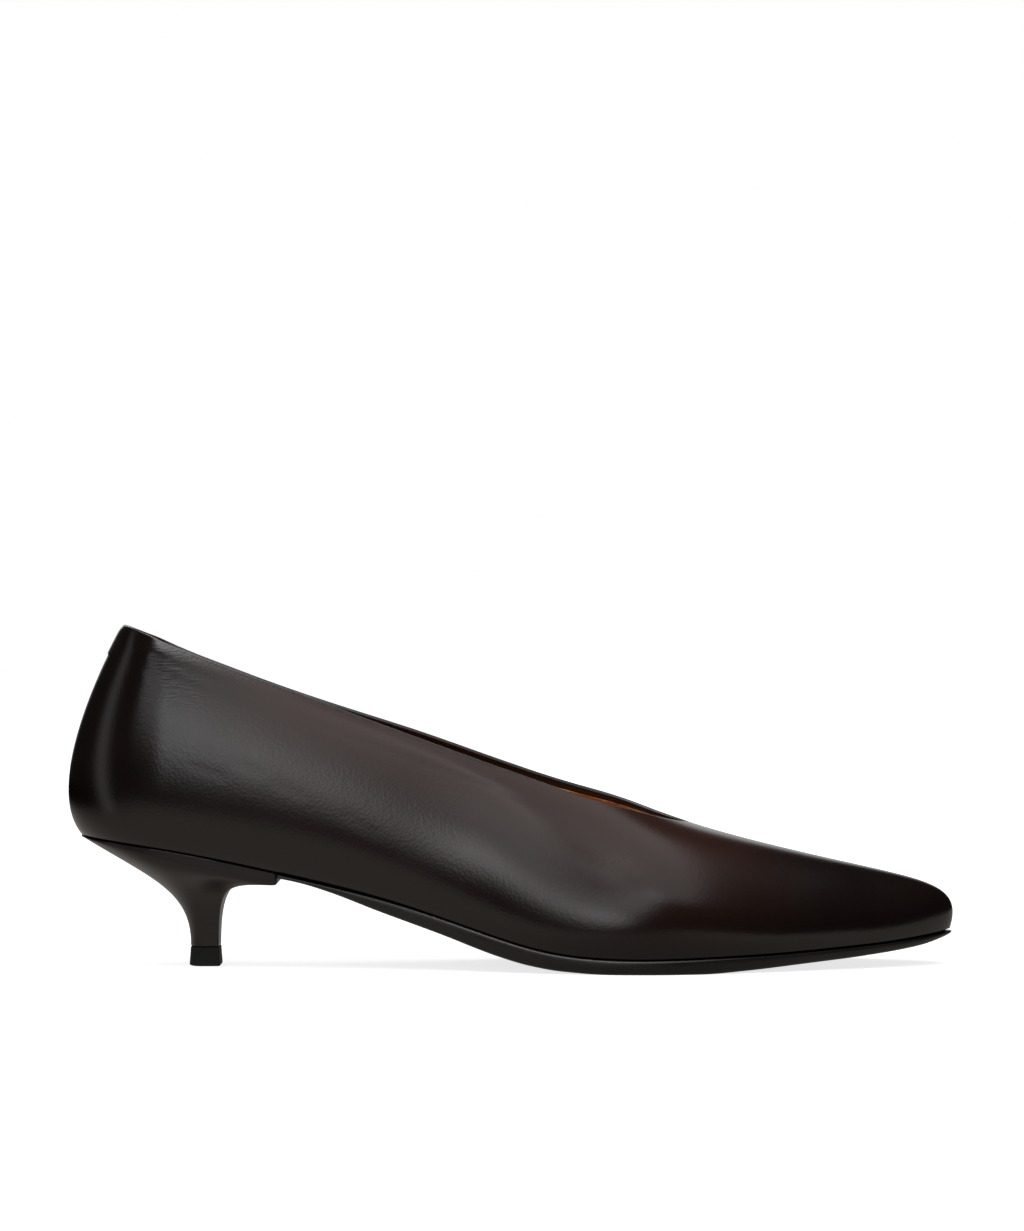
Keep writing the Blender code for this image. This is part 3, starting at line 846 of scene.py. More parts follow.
@dataclass(frozen=True)
class Finish:
    """A leather or rubber finish: two colours of uneven dye, a painted light colour and a painted shade
    colour by the mask, grain and gloss.
    """

    name: str
    dark: Colour
    light: Colour
    # Colour of painted light, where the mask is above 0
    painted_light_colour: Colour
    roughness: Span
    cell_scale: float
    cloud_scale: float
    pore_depth: float
    bump: float
    bump_distance: float = 0.0002
    pore_matt: float = 0.02
    # Colour of painted shade, where the mask is below 0
    painted_shade_colour: Colour = (0.0030, 0.0024, 0.0020)
    stroke_height: float = 0.0
    stroke_turn: float = 0.9
    stroke_scale: tuple[float, float, float] = (260.0, 260.0, 1500.0)

    def strokes(self, tree: NodeTree, place: Socket) -> Socket:
        """Fine slanting strokes: noise on a turned place, stretched along its run, times the stroke mask.

        Args:
            tree: Tree of the material.
            place: Socket of the Object coordinates.

        Returns:
            The socket with the height of the strokes.
        """
        turned = tree.add(
            "ShaderNodeMapping", Rotation=(0.0, self.stroke_turn, 0.0), Scale=self.stroke_scale
        )
        tree.join(place, turned.inputs["Vector"])
        noise = tree.add("ShaderNodeTexNoise", Scale=1.0, Detail=2.0, Distortion=0.4)
        tree.join(turned.outputs[0], noise.inputs["Vector"])
        mask = tree.add("ShaderNodeAttribute", attribute_name="stroke_mask")
        height = tree.maths("MULTIPLY", mask.outputs["Fac"], self.stroke_height)
        return tree.maths("MULTIPLY", noise.outputs[0], height)

    def material(self) -> bpy.types.Material:
        """Build the material: clouds mix the dye, the mask adds painted light and painted shade, grain
        drives bump and gloss.

        Returns:
            The material, built once for each finish.
        """
        if self.name in bpy.data.materials:
            return bpy.data.materials[self.name]
        finish = bpy.data.materials.new(self.name)
        finish.use_nodes = True
        tree = NodeTree(finish.node_tree)
        shader = finish.node_tree.nodes["Principled BSDF"]
        place = tree.add("ShaderNodeTexCoord").outputs["Object"]
        grain = tree.add(
            "ShaderNodeGroup", node_tree=Effect.grain(),
            Cell_Scale=self.cell_scale, Pore_Depth=self.pore_depth,
        )
        dye = tree.add("ShaderNodeGroup", node_tree=Effect.mottle(), Cloud_Scale=self.cloud_scale)
        for group in (grain, dye):
            tree.join(place, group.inputs["Vector"])
        mask = tree.add("ShaderNodeAttribute", attribute_name="painted_light_shade_mask")
        colour = tree.mix(dye.outputs["Clouds"], self.dark, self.light)
        # The mask paints light over the dye above 0, and paints shade below 0
        colour = tree.mix(mask.outputs["Fac"], colour, self.painted_light_colour)
        colour = tree.mix(tree.maths("MULTIPLY", mask.outputs["Fac"], -1.0), colour, self.painted_shade_colour)
        tree.join(colour, shader.inputs["Base Color"])
        low, high = self.roughness
        gloss = tree.maths("ADD", tree.maths("MULTIPLY", dye.outputs["Clouds"], high - low), low)
        matt = tree.maths("MULTIPLY", grain.outputs["Pores"], self.pore_matt)
        tree.join(tree.maths("ADD", gloss, matt, clamp=True), shader.inputs["Roughness"])
        bump = tree.add("ShaderNodeBump", Strength=self.bump, Distance=self.bump_distance)
        height = grain.outputs["Height"]
        if self.stroke_height:
            height = tree.maths("ADD", height, self.strokes(tree, place))
        tree.join(height, bump.inputs["Height"])
        tree.join(bump.outputs["Normal"], shader.inputs["Normal"])
        return finish


# The upper's painted light colour is the lighter, redder tint painted where the wall is lit
UPPER_LEATHER = Finish(
    name="espresso_calf",
    dark=(0.0062, 0.0034, 0.0028), light=(0.0090, 0.0048, 0.0039), painted_light_colour=(0.040, 0.0142, 0.0102),
    roughness=(0.19, 0.23), cell_scale=1050.0, cloud_scale=26.0, pore_depth=0.03, bump=0.095,
    stroke_height=8.5,
)
# The lining's painted light colour is the painted highlight on its cut top edge
LINING_LEATHER = Finish(
    name="tan_lining",
    dark=(0.50, 0.165, 0.040), light=(0.60, 0.220, 0.062), painted_light_colour=(0.85, 0.42, 0.17),
    roughness=(0.52, 0.62), cell_scale=520.0, cloud_scale=45.0, pore_depth=0.6, bump=0.22,
)
# The sole's painted light colour is the painted glint on its top edge
SOLE_LEATHER = Finish(
    name="black_sole",
    dark=(0.0050, 0.0042, 0.0038), light=(0.0080, 0.0068, 0.0060), painted_light_colour=(0.17, 0.15, 0.135),
    roughness=(0.30, 0.38), cell_scale=480.0, cloud_scale=60.0, pore_depth=0.4, bump=0.14,
)
HEEL_COVER = Finish(
    name="covered_heel",
    dark=(0.0070, 0.0042, 0.0034), light=(0.0100, 0.0058, 0.0048), painted_light_colour=(0.036, 0.016, 0.012),
    roughness=(0.32, 0.38), cell_scale=700.0, cloud_scale=40.0, pore_depth=0.4, bump=0.08,
)
LIFT_RUBBER = Finish(
    name="lift_rubber",
    dark=(0.005, 0.005, 0.005), light=(0.008, 0.0078, 0.0075), painted_light_colour=(0.016, 0.015, 0.014),
    roughness=(0.50, 0.60), cell_scale=900.0, cloud_scale=90.0, pore_depth=0.2, bump=0.15,
)


@dataclass(frozen=True)
class Crease:
    """A soft trough in the wall: straight between two given places (X, Z) of the side view."""

    start: Place
    end: Place
    depth: float
    width: float

    def at(self, points: Array) -> Array:
        """Depth at each point: a bell curve of its distance from the line in the side view.

        Args:
            points: Points of the wall.

        Returns:
            The depths.
        """
        flat = points[..., (0, 2)] - np.array(self.start)
        run = np.array(self.end) - np.array(self.start)
        share = np.clip(flat @ run / (run @ run), 0, 1)
        away = np.linalg.norm(flat - share[..., None] * run, axis=-1)
        return self.depth * np.exp(-(away / self.width) ** 2)


@dataclass(frozen=True)
class Fold:
    """The folded topline: the wall eases in by squares towards the collar, above a faint trough."""

    start: Span = (16.0, 23.0)
    width: float = 6.5
    tuck: float = 0.8
    trough: float = 0.06
    trough_width: float = 1.5
    fade: Span = (135.0, 170.0)

    def at(self, points: Array, below: Array) -> Array:
        """Depth at each point: a squared ramp and a bell, neither at the back nor at the throat.

        Args:
            points: Points of the wall.
            below: Distance of each point below the collar's row.

        Returns:
            The depths.
        """
        tuck = self.tuck * np.clip(1 - below / self.width, 0, 1) ** 2
        trough = self.trough * np.exp(-((below - self.width) / self.trough_width) ** 2)
        return plateau(points[..., 0], self.start, self.fade) * (tuck + trough)


@dataclass(frozen=True)
class Upper:
    """The leather upper: outer wall with a painted light tint where it is lit, rolled collar edge, dark
    turned-in facing painted darker still as painted shade, and lasting margin.
    """

    last: Last
    collar: Collar
    fold: Fold
    thick: float = 1.5
    roll: float = 0.75
    column_step: float = 1.3
    near_throat: int = 22
    quarter: int = 44
    wall_rows: int = 96
    inner_rows: int = 24
    roll_steps: int = 10
    margin: float = 7.0
    tip_margin: float = 9.0
    # Painted light: a lighter, redder colour on the outer wall where the lights fall, strongest at the
    # collar and fading with depth and towards heel and toe
    painted_light: float = 0.8
    painted_light_depth: float = 26.0
    painted_light_from: Span = (28.0, 70.0)
    painted_light_until: Span = (180.0, 225.0)
    patch_middle: Place = (33.0, 84.5)
    patch_size: Span = (11.0, 6.5)
    patch_slant: float = -0.75
    creases: tuple[Crease, ...] = (
        Crease((24.0, 90.0), (29.5, 86.0), 0.05, 0.9),
        Crease((26.5, 91.5), (33.5, 86.5), 0.07, 1.0),
        Crease((29.5, 91.0), (37.0, 85.0), 0.06, 0.9),
        Crease((25.0, 86.5), (28.5, 82.5), 0.05, 0.9),
        Crease((40.0, 83.5), (44.0, 81.8), 0.03, 1.0),
        Crease((39.0, 59.5), (47.0, 57.0), 0.03, 1.6),
        Crease((52.0, 60.5), (58.0, 58.0), 0.03, 1.8),
        Crease((64.0, 54.5), (70.0, 51.5), 0.03, 1.8),
        Crease((84.0, 45.5), (91.0, 40.5), 0.03, 2.0),
        Crease((137.0, 37.0), (152.0, 27.0), 0.04, 4.5),
        Crease((160.0, 36.0), (172.0, 27.0), 0.025, 5.0),
    )

    @cached_property
    def columns(self) -> Columns:
        """Fine columns along the shoe."""
        stations = self.collar.side_stations(self.last, self.column_step, self.near_throat)
        return self.last.columns(stations, self.quarter)

    def press(self, points: Array, side: Side) -> Array:
        """Height of the wall's relief: the folded topline, and on the outer side the creases.

        Args:
            points: Points of the outer wall, with the collar's row last.
            side: Side of the shoe.

        Returns:
            The height at each point, below zero where it is pressed in.
        """
        relief = -self.fold.at(points, points[-1, :, 2] - points[..., 2])
        if side is Side.LATERAL:
            relief = relief - sum(crease.at(points) for crease in self.creases)
        return relief

    def stroke_patch(self, points: Array) -> Array:
        """Where the counter's top has fine strokes: a bell over a slanting ellipse in the side view.

        Args:
            points: Points of the outer wall.

        Returns:
            The share of the strokes at each point.
        """
        x, z = points[..., 0] - self.patch_middle[0], points[..., 2] - self.patch_middle[1]
        sine, cosine = math.sin(self.patch_slant), math.cos(self.patch_slant)
        run = (x * cosine + z * sine) / self.patch_size[0]
        across = (z * cosine - x * sine) / self.patch_size[1]
        return np.exp(-run ** 2 - across ** 2)

    def rim(self, points: Halves, normals: Halves, open_columns: int) -> Array:
        """Rolled collar edge: a half ellipse carried round the collar, from outer face to inner face.

        Args:
            points: Points of the outer wall by side.
            normals: Normals of the outer wall by side.
            open_columns: Number of columns up to the throat.

        Returns:
            The closed ring of the edge, row by row from outside to inside.
        """
        def ring(halves: Halves) -> Array:
            """Top row round the whole collar, from the heel back by the throat to the heel back."""
            outer, inner = (halves[side][-1, :open_columns] for side in Side)
            return np.concatenate((outer, inner[-2:0:-1]))

        edge = ring(points)
        normal = ring(normals)
        run = np.roll(edge, -1, axis=0) - np.roll(edge, 1, axis=0)
        rise = unit(np.cross(normal, run))
        rise *= np.sign(rise[open_columns // 2, 2])
        angle = np.linspace(0, np.pi, self.roll_steps + 1)[:, None, None]
        half = self.thick / 2
        rolled = edge + half * (np.cos(angle) - 1) * normal + self.roll * np.sin(angle) * rise
        return np.concatenate((rolled, rolled[:, :1]), axis=1)

    def build(self) -> bpy.types.Object:
        """Build the upper as one closed wall and dress it.

        Returns:
            The finished object.
        """
        last, columns = self.last, self.columns
        rows = np.linspace(0, 1, self.wall_rows + 1)
        points, normals, open_columns = self.collar.wall(last, columns, rows, self.roll)
        inner_pick = np.linspace(0, self.wall_rows, self.inner_rows + 1).round().astype(int)
        piece = Piece("upper_leather", "upper", "upper_leather", UPPER_LEATHER)
        for side in Side:
            points[side] = points[side] + self.press(points[side], side)[..., None] * normals[side]
            outer = points[side]
            inner = (outer - self.thick * normals[side])[inner_pick]
            inner[0, :, 2] = last.at("feather_z", outer[0, :, 0]) + self.thick
            below = outer[-1, :, 2] - outer[..., 2]
            # Painted light: the lit tint, fading with depth below the collar and towards heel and toe
            along = plateau(outer[..., 0], self.painted_light_from, self.painted_light_until)
            painted_light = self.painted_light * along * np.exp(-(below / self.painted_light_depth) ** 2)
            piece.add(outer, painted_light, self.stroke_patch(outer) if side is Side.LATERAL else 0.0)
            # Painted shade: the inner face, seen as the turned-in facing above the lining, is painted darker
            # than the leather, so no bounce light shows there
            piece.add(inner, PAINTED_SHADE)
            line = last.outline(side, columns, self.margin, self.tip_margin)
            under = points_of(line[:, 0], line[:, 1], last.at("feather_z", line[:, 0]))
            piece.add(np.stack((outer[0], under, under + (0.0, 0.0, self.thick), inner[0])))
        piece.add(self.rim(points, normals, open_columns))
        return piece.build()


@dataclass(frozen=True)
class Lining:
    """The tan lining: a thin skin inside the upper that stops below the turned-in facing."""

    last: Last
    collar: Collar
    fold: Fold
    depth: float = 1.5
    overlap: float = 0.02
    thick: float = 0.45
    facing: float = 2.3
    below_roll: float = 1.55
    rear_facing: float = 1.1
    rear_until: Span = (124.0, 152.0)
    column_step: float = 1.8
    near_throat: int = 14
    quarter: int = 28
    rows: int = 44
    floor_share: float = 0.03

    def build(self) -> bpy.types.Object:
        """Build the lining as one thin closed skin: the wall moved in by its depth and by its thickness.

        Returns:
            The finished object.
        """
        stations = self.collar.side_stations(self.last, self.column_step, self.near_throat)
        columns = self.last.columns(stations, self.quarter)
        rows = np.linspace(self.floor_share, 1, self.rows + 1)
        extra = self.rear_facing * (1 - smooth_step(columns.base, *self.rear_until))
        points, normals, open_columns = self.collar.wall(self.last, columns, rows, self.facing, extra)
        piece = Piece("tan_lining", "upper", "lining_leather", LINING_LEATHER)
        for side in Side:
            below = points[side][-1, :, 2] - points[side][..., 2] + self.below_roll + extra
            depth = (self.depth + self.fold.at(points[side], below))[..., None]
            outer = points[side] - (depth - self.overlap) * normals[side]
            inner = points[side] - (depth + self.thick) * normals[side]
            piece.add(outer)
            piece.add(inner)
            piece.add(np.stack((outer[0], inner[0])))
            # Painted highlight: the lining's cut top edge is painted paler, as if it caught the light
            piece.add(np.stack((outer[-1, :open_columns], inner[-1, :open_columns])), CUT_EDGE_HIGHLIGHT)
        return piece.build()


@dataclass(frozen=True)
class Sock:
    """The insole under its tan sock: a board that follows the wall's slope, crowned under the heel."""

    last: Last
    wall: float = 1.8
    clearance: float = 0.25
    floor: float = 2.1
    top: float = 4.3
    heel_pad: float = 0.9
    pad_fullness: int = 4
    pad_from: Span = (6.0, 22.0)
    pad_until: Span = (45.0, 90.0)
    edge_share: float = 0.3
    edge_samples: int = 200
    step_inset: float = 7.5
    tip_step_inset: float = 9.5
    column_step: float = 2.0
    quarter: int = 28
    across: int = 24

    def insets(self, columns: Columns, height: float) -> Halves:
        """Inset of the edge at a height above the feather line: the wall's inner face less a clearance.

        Args:
            columns: Columns along the shoe.
            height: Height above the feather line.

        Returns:
            The insets by side, shared by both sides round the ends.
        """
        straight = np.zeros(len(columns))
        shares = np.linspace(0, self.edge_share, self.edge_samples)[:, None] * np.ones(len(columns))
        insets = {}
        for side in Side:
            outer = self.last.wall(side, columns.base, straight, shares)
            inner = outer - self.wall * self.last.normals(side, columns.base, straight, shares)
            rise = (inner - outer[0])[..., 2]
            reach = side.value * (inner - outer[0])[..., 1]
            found = [np.interp(height, *column) for column in zip(rise.T, reach.T)]
            insets[side] = self.clearance - np.array(found)
        shared = (insets[Side.LATERAL] + insets[Side.MEDIAL]) / 2
        return {side: np.where(columns.turn == 0, inset, shared) for side, inset in insets.items()}

    def build(self) -> bpy.types.Object:
        """Build the sock and board: edge levels by side, and a low-crowned top that bridges the sides.

        Returns:
            The finished object.
        """
        last = self.last
        columns = last.columns(evenly(last.heel_base, last.toe_base, self.column_step), self.quarter)
        top_insets = self.insets(columns, self.top)
        floor_insets = self.insets(columns, self.floor)
        piece = Piece("tan_sock", "insole", "lining_leather", LINING_LEATHER)
        edges, undersides = {}, {}
        for side in Side:
            rim = last.outline(side, columns, top_insets[side])
            low = last.outline(side, columns, floor_insets[side])
            step = last.outline(side, columns, self.step_inset, self.tip_step_inset)
            top_z, low_z, step_z = (last.at("feather_z", line[:, 0]) for line in (rim, low, step))
            edges[side] = points_of(rim[:, 0], rim[:, 1], top_z + self.top)
            foot = points_of(step[:, 0], step[:, 1], step_z)
            piece.add(np.stack((
                edges[side],
                points_of(low[:, 0], low[:, 1], low_z + self.floor),
                points_of(step[:, 0], step[:, 1], step_z + self.floor),
                foot,
            )))
            undersides[side] = foot
        piece.add(np.stack([undersides[side] for side in Side]))
        top = bridge(edges[Side.LATERAL], edges[Side.MEDIAL], self.across)
        crown = 1 - np.linspace(-1, 1, self.across + 1)[:, None] ** self.pad_fullness
        top[..., 2] += self.heel_pad * crown * plateau(top[..., 0], self.pad_from, self.pad_until)
        piece.add(top)
        return piece.build()


@dataclass(frozen=True)
class Outsole:
    """The thin outsole: its edge swells a little past the feather line, its tread springs at the toe.

    Down the edge run its outset, how far it lies below the seat, and its share of the way to the tread. The
    tread is given as places (X, Z) along the shoe.
    """

    last: Last
    rear_x: float = 63.1
    tread: tuple[Place, ...] = (
        (61.8, 27.1), (69.5, 25.5), (78.0, 22.9), (92.2, 17.5), (110.0, 11.1), (127.7, 4.6), (136.6, 2.2),
        (145.5, 0.8), (160.0, 0.0), (186.0, 0.0), (198.9, 0.7), (216.7, 2.2), (234.4, 3.8), (252.2, 6.2),
        (262.0, 9.0),
    )
    edge_outset: tuple[float, ...] = (-1.8, -1.0, -0.35, 0.20, 0.42, 0.48, 0.42, 0.15, -0.35, -1.2)
    edge_groove: tuple[float, ...] = (0.0, 0.45, 0.60, 0.60, 0.60, 0.60, 0.60, 0.60, 0.60, 0.60)
    edge_depth: tuple[float, ...] = (0.0, 0.0, 0.0, 0.02, 0.12, 0.32, 0.55, 0.78, 0.94, 1.0)
    # Painted highlight: a pale glint along the top lip of the edge, from the waist to the ball
    glint_depth: float = 0.03
    glint_width: float = 0.035
    glint_groove: float = 0.55
    glint_from: Span = (70.0, 125.0)
    glint_until: Span = (165.0, 205.0)
    seat_gap: float = 0.1
    column_step: float = 1.4
    quarter: int = 44
    edge_steps: int = 36
    across: int = 10

    def build(self) -> bpy.types.Object:
        """Build the sole: an edge profile carried round the feather line, closed above and below.

        Returns:
            The finished object.
        """
        last = self.last
        stations = evenly(self.rear_x, last.toe_base, self.column_step)
        columns = last.columns(stations, self.quarter, heel=False)
        tread = level_keeping(*zip(*self.tread))
        knots = np.linspace(0, 1, len(self.edge_outset))
        place = np.linspace(0, 1, self.edge_steps + 1)
        outsets = spline(knots, self.edge_outset)(place)
        depths = np.clip(np.interp(place, knots, self.edge_depth), 0, 1)
        grooves = level_keeping(knots, self.edge_groove)(place)[:, None]
        # Painted highlight on the edge's top lip, where a glint would catch the light
        lip = np.exp(-((depths - self.glint_depth) / self.glint_width) ** 2)[:, None]
        glint = lip * (grooves > self.glint_groove)
        piece = Piece("outsole_leather", "outsole", "sole_leather", SOLE_LEATHER)
        halves: Halves = {}
        for side in Side:
            lines = np.stack([last.outline(side, columns, -outset) for outset in outsets])
            top = last.at("feather_z", lines[..., 0]) - self.seat_gap - grooves
            height = top + depths[:, None] * (tread(lines[..., 0]) - top)
            halves[side] = points_of(lines[..., 0], lines[..., 1], height)
            piece.add(halves[side], glint * plateau(lines[..., 0], self.glint_from, self.glint_until))
        for level in (0, -1):
            piece.add(bridge(*(halves[side][level] for side in Side), self.across))
        piece.add(bridge(*(halves[side][:, 0] for side in Side), self.across))
        return piece.build()


@dataclass(frozen=True)
class Heel:
    """The covered heel and its top lift: the seat's outline carried down two curves to a small foot.

    The curves of back and breast are given by their handles (X, Z) from the seat to the foot, and the corner
    by its radius at the seat and at the foot.
    """

    last: Last
    front_x: float = 62.9
    back: tuple[Place, ...] = ((3.9, 38.4), (25.4, 25.5), (36.2, 21.7), (36.2, 5.9))
    breast: tuple[Place, ...] = ((62.9, 24.8), (47.6, 25.3), (44.8, 24.8), (44.8, 5.9))
    half_widths: tuple[float, ...] = (22.6, 22.0, 6.2, 6.0)
    corner: Span = (0.9, 0.6)
    corner_ease: int = 3
    seat_gap: float = 0.3
    seat_round: float = 0.6
    seat_drop: float = 0.3
    seat_centre: float = 34.0
    seat_half: float = 22.0
    column_step: float = 1.6
    quarter: int = 36
    corner_steps: int = 8
    front_steps: int = 10
    band_rows: int = 8
    levels: int = 64
    smoothing: int = 3
    sharp_angle: float = 1.2
    lift_height: tuple[float, ...] = (5.6, 5.5, 5.2, 3.0, 1.0, 0.45, 0.1, 0.0)
    lift_outset: tuple[float, ...] = (-0.25, -0.02, 0.08, 0.20, 0.36, 0.40, 0.30, 0.05)

    def seat_line(self, side: Side) -> tuple[Array, Array]:
        """The seat's half outline, as shares of the way to the breast and of the seat's half-width.

        Args:
            side: Side of the shoe.

        Returns:
            Run from back to breast, and spread.
        """
        stations = evenly(self.last.heel_base, self.front_x, self.column_step)
        columns = self.last.columns(stations, self.quarter, toe=False)
        line = self.last.outline(side, columns, 0.0)
        run = (line[:, 0] - line[0, 0]) / (line[-1, 0] - line[0, 0])
        return run, line[:, 1] / self.half_widths[0]

    def half_loop(self, side: Side, back_x: Array, front_x: Array, half: Array, corner: Array) -> Array:
        """Half loops of the heel's sections: side line, quarter-circle corner, then straight across.

        Args:
            side: Side of the shoe.
            back_x: X of the back at each level.
            front_x: X of the breast at each level.
            half: Half-width at each level.
            corner: Corner radius at each level.

        Returns:
            X and Y of each level and column.
        """
        run, spread = self.seat_line(side)
        back_x, front_x, half, corner = (value[:, None] for value in (back_x, front_x, half, corner))
        side_x = back_x + run * (front_x - corner - back_x)
        side_y = half * spread
        angle = np.linspace(0, np.pi / 2, self.corner_steps + 1)[1:]
        edge = np.abs(side_y[:, -1:])
        corner_x = front_x - corner + corner * np.sin(angle)
        corner_y = side.value * (edge - corner + corner * np.cos(angle))
        across = np.linspace(1, 0, self.front_steps + 1)[1:]
        front_y = side.value * (edge - corner) * across
        x = np.concatenate((side_x, corner_x, np.broadcast_to(front_x, front_y.shape)), axis=1)
        y = np.concatenate((side_y, corner_y, front_y), axis=1)
        return np.stack((x, y), axis=-1)

    def level(self, share: Array) -> tuple[Array, Array, Array]:
        """Levels of the heel at shares of the way from seat to foot, all on cubic curves.

        Args:
            share: Share of the way at each level.

        Returns:
            The back points, the breast points and the half-widths.
        """
        curves = (np.array(curve)[:, None] for curve in (self.back, self.breast))
        back, breast = (cubic(curve, share[:, None]) for curve in curves)
        return back, breast, cubic(self.half_widths, share)

    def build_heel(self) -> bpy.types.Object:
        """Build the covered heel: a short upright band under the seat, then levels down to the foot.

        Returns:
            The finished object.
        """
        share = np.linspace(0, 1, self.levels + 1)
        back, breast, half = self.level(share)
        at_seat, at_foot = self.corner
        corner = at_foot + (at_seat - at_foot) * (1 - share) ** self.corner_ease
        piece = Piece("covered_heel", "heel", "heel_cover", HEEL_COVER, sharp_angle=self.sharp_angle)
        halves: Halves = {}
        for side in Side:
            loops = self.half_loop(side, back[:, 0], breast[:, 0], half, corner)
            run = (loops[..., 0] - back[:, :1]) / (breast[:, :1] - back[:, :1])
            height = back[:, 1:] + run * (breast - back)[:, 1:]
            body = points_of(loops[..., 0], loops[..., 1], height)
            seat_z = self.last.at("feather_z", body[0, :, 0]) - self.seat_gap
            seat = points_of(body[0, :, 0], body[0, :, 1], seat_z)
            band = np.linspace(0, 1, self.band_rows + 1)[:-1, None, None]
            rows = np.concatenate((seat + band * (body[0] - seat), body))
            soft = averaged(rows, self.smoothing)
            inward = (np.array((self.seat_centre, 0.0, 0.0)) - seat) * (1.0, 1.0, 0.0)
            drawn = seat + inward * self.seat_round / self.seat_half
            soft[0, :, 2] -= self.seat_drop
            halves[side] = np.concatenate((drawn[None], soft))
            piece.add(halves[side])
        piece.add_caps(halves)
        return piece.build()

    def build_lift(self) -> bpy.types.Object:
        """Build the top lift: the foot's outline with an outset that grows towards the floor.

        Returns:
            The finished object.
        """
        back, breast, half = self.level(np.array([1.0]))
        outset = np.array(self.lift_outset)
        piece = Piece(
            "top_lift_rubber", "top_lift", "lift_rubber", LIFT_RUBBER, sharp_angle=self.sharp_angle
        )
        halves: Halves = {}
        corner = np.full(len(outset), self.corner[1])
        for side in Side:
            loops = self.half_loop(
                side, back[0, 0] - outset, breast[0, 0] + outset, half[0] + outset, corner
            )
            halves[side] = points_of(loops[..., 0], loops[..., 1], np.array(self.lift_height)[:, None])
            piece.add(halves[side])
        piece.add_caps(halves)
        return piece.build()


@dataclass(frozen=True)
class BackTab:
    """The back tab: a thin strip of the same leather over the top of the back seam."""

    last: Last
    half_width: float = 7.0
    bottom_z: float = 91.9
    top_z: float = 100.0
    gap: float = 0.02
    thick: float = 0.36
    edge_thick: float = 0.06
    samples: int = 400
    steps: int = 24
    rows: int = 20
    edge: float = 0.5
    top_edge: float = 1.6

    def build(self) -> bpy.types.Object:
        """Build the tab: the wall's form moved out, falling to the wall along its edges by a root law.

        Returns:
            The finished object.
        """
        last = self.last
        heel_base = np.array(last.heel_base)
        samples = np.linspace(0, 1, self.samples)
        line = last.wall(Side.LATERAL, heel_base, np.array(-1.0), samples)
        low, high = np.interp((self.bottom_z, self.top_z), line[:, 2], samples)
        side_y = last.wall(Side.LATERAL, heel_base, np.array(0.0), np.array(high))[1]
        edge_turn = (1 - (self.half_width / abs(side_y)) ** 2) ** (1 / last.heel_fullness)
        angle = np.linspace(np.pi / 2, np.arcsin(edge_turn), self.steps + 1)
        turn = -np.sin(angle)
        share = np.linspace(low, high, self.rows + 1)
        shares = {side: share[:, None] * np.ones(len(turn)) for side in Side}
        points, normals = last.wall_pair(np.full(len(turn), last.heel_base), turn, shares)
        whole, outward = (
            np.concatenate((halves[Side.LATERAL][:, :0:-1], halves[Side.MEDIAL]), axis=1)
            for halves in (points, normals)
        )
        width = np.linspace(-1, 1, whole.shape[1])
        height = np.linspace(-1, 1, whole.shape[0])[:, None]
        half_height = (self.top_z - self.bottom_z) / 2
        from_sides = (1 - np.abs(width)) * self.half_width / self.edge
        from_foot = (1 + height) * half_height / self.edge
        from_top = (1 - height) * half_height / self.top_edge
        nearest = np.minimum(np.minimum(from_sides, from_foot), from_top)
        rise = np.sqrt(np.clip(nearest, 0, 1))[..., None]
        under = whole + self.gap * outward
        outer = under + (self.edge_thick + (self.thick - self.edge_thick) * rise) * outward
        piece = Piece("back_tab_leather", "back_tab", "upper_leather", UPPER_LEATHER)
        piece.add(outer)
        piece.add(under)
        for row in (0, -1):
            piece.add(np.stack((under[row], outer[row])))
            piece.add(np.stack((under[:, row], outer[:, row])))
        return piece.build()


@dataclass(frozen=True)
class Panel:
    """One softbox: its place and target, size, power, turn on its own axis and share of soft edge."""

    name: str
    place: tuple[float, float, float]
    target: tuple[float, float, float]
    size: Span
    watts: float
    turn: float = 0.0
    soft: float = 0.2
    middle: float = 0.5

    def soften(self, lamp: bpy.types.Light) -> None:
        """Fade the light towards its edges: an eased ramp of the distance from the edge, across and up.

        Args:
            lamp: The light's data.
        """
        lamp.use_nodes = True
        tree = NodeTree(lamp.node_tree)
        place = tree.add("ShaderNodeSeparateXYZ")
        tree.join(tree.add("ShaderNodeNewGeometry").outputs["Parametric"], place.inputs[0])
        fades = []
        for axis in ("X", "Y"):
            offset = tree.maths("SUBTRACT", place.outputs[axis], self.middle)
            inside = tree.maths("SUBTRACT", self.middle, tree.maths("ABSOLUTE", offset, 0.0))
            fades.append(tree.ramp(inside, 0.0, self.soft))
        tree.join(tree.maths("MULTIPLY", *fades), lamp.node_tree.nodes["Emission"].inputs["Strength"])

    def build(self) -> bpy.types.Object:
        """Hang the light so that it faces its target.

        Returns:
            The light.
        """
        lamp = bpy.data.lights.new(self.name, "AREA")
        lamp.shape = "RECTANGLE"
        lamp.size, lamp.size_y = self.size
        lamp.energy = self.watts
        self.soften(lamp)
        light = show(self.name, lamp)
        light.location = self.place
        way = Vector(self.target) - Vector(self.place)
        about_axis = Quaternion((0.0, 0.0, 1.0), math.radians(self.turn))
        light.rotation_euler = (way.to_track_quat("-Z", "Y") @ about_axis).to_euler()
        light.visible_camera = False
        return light


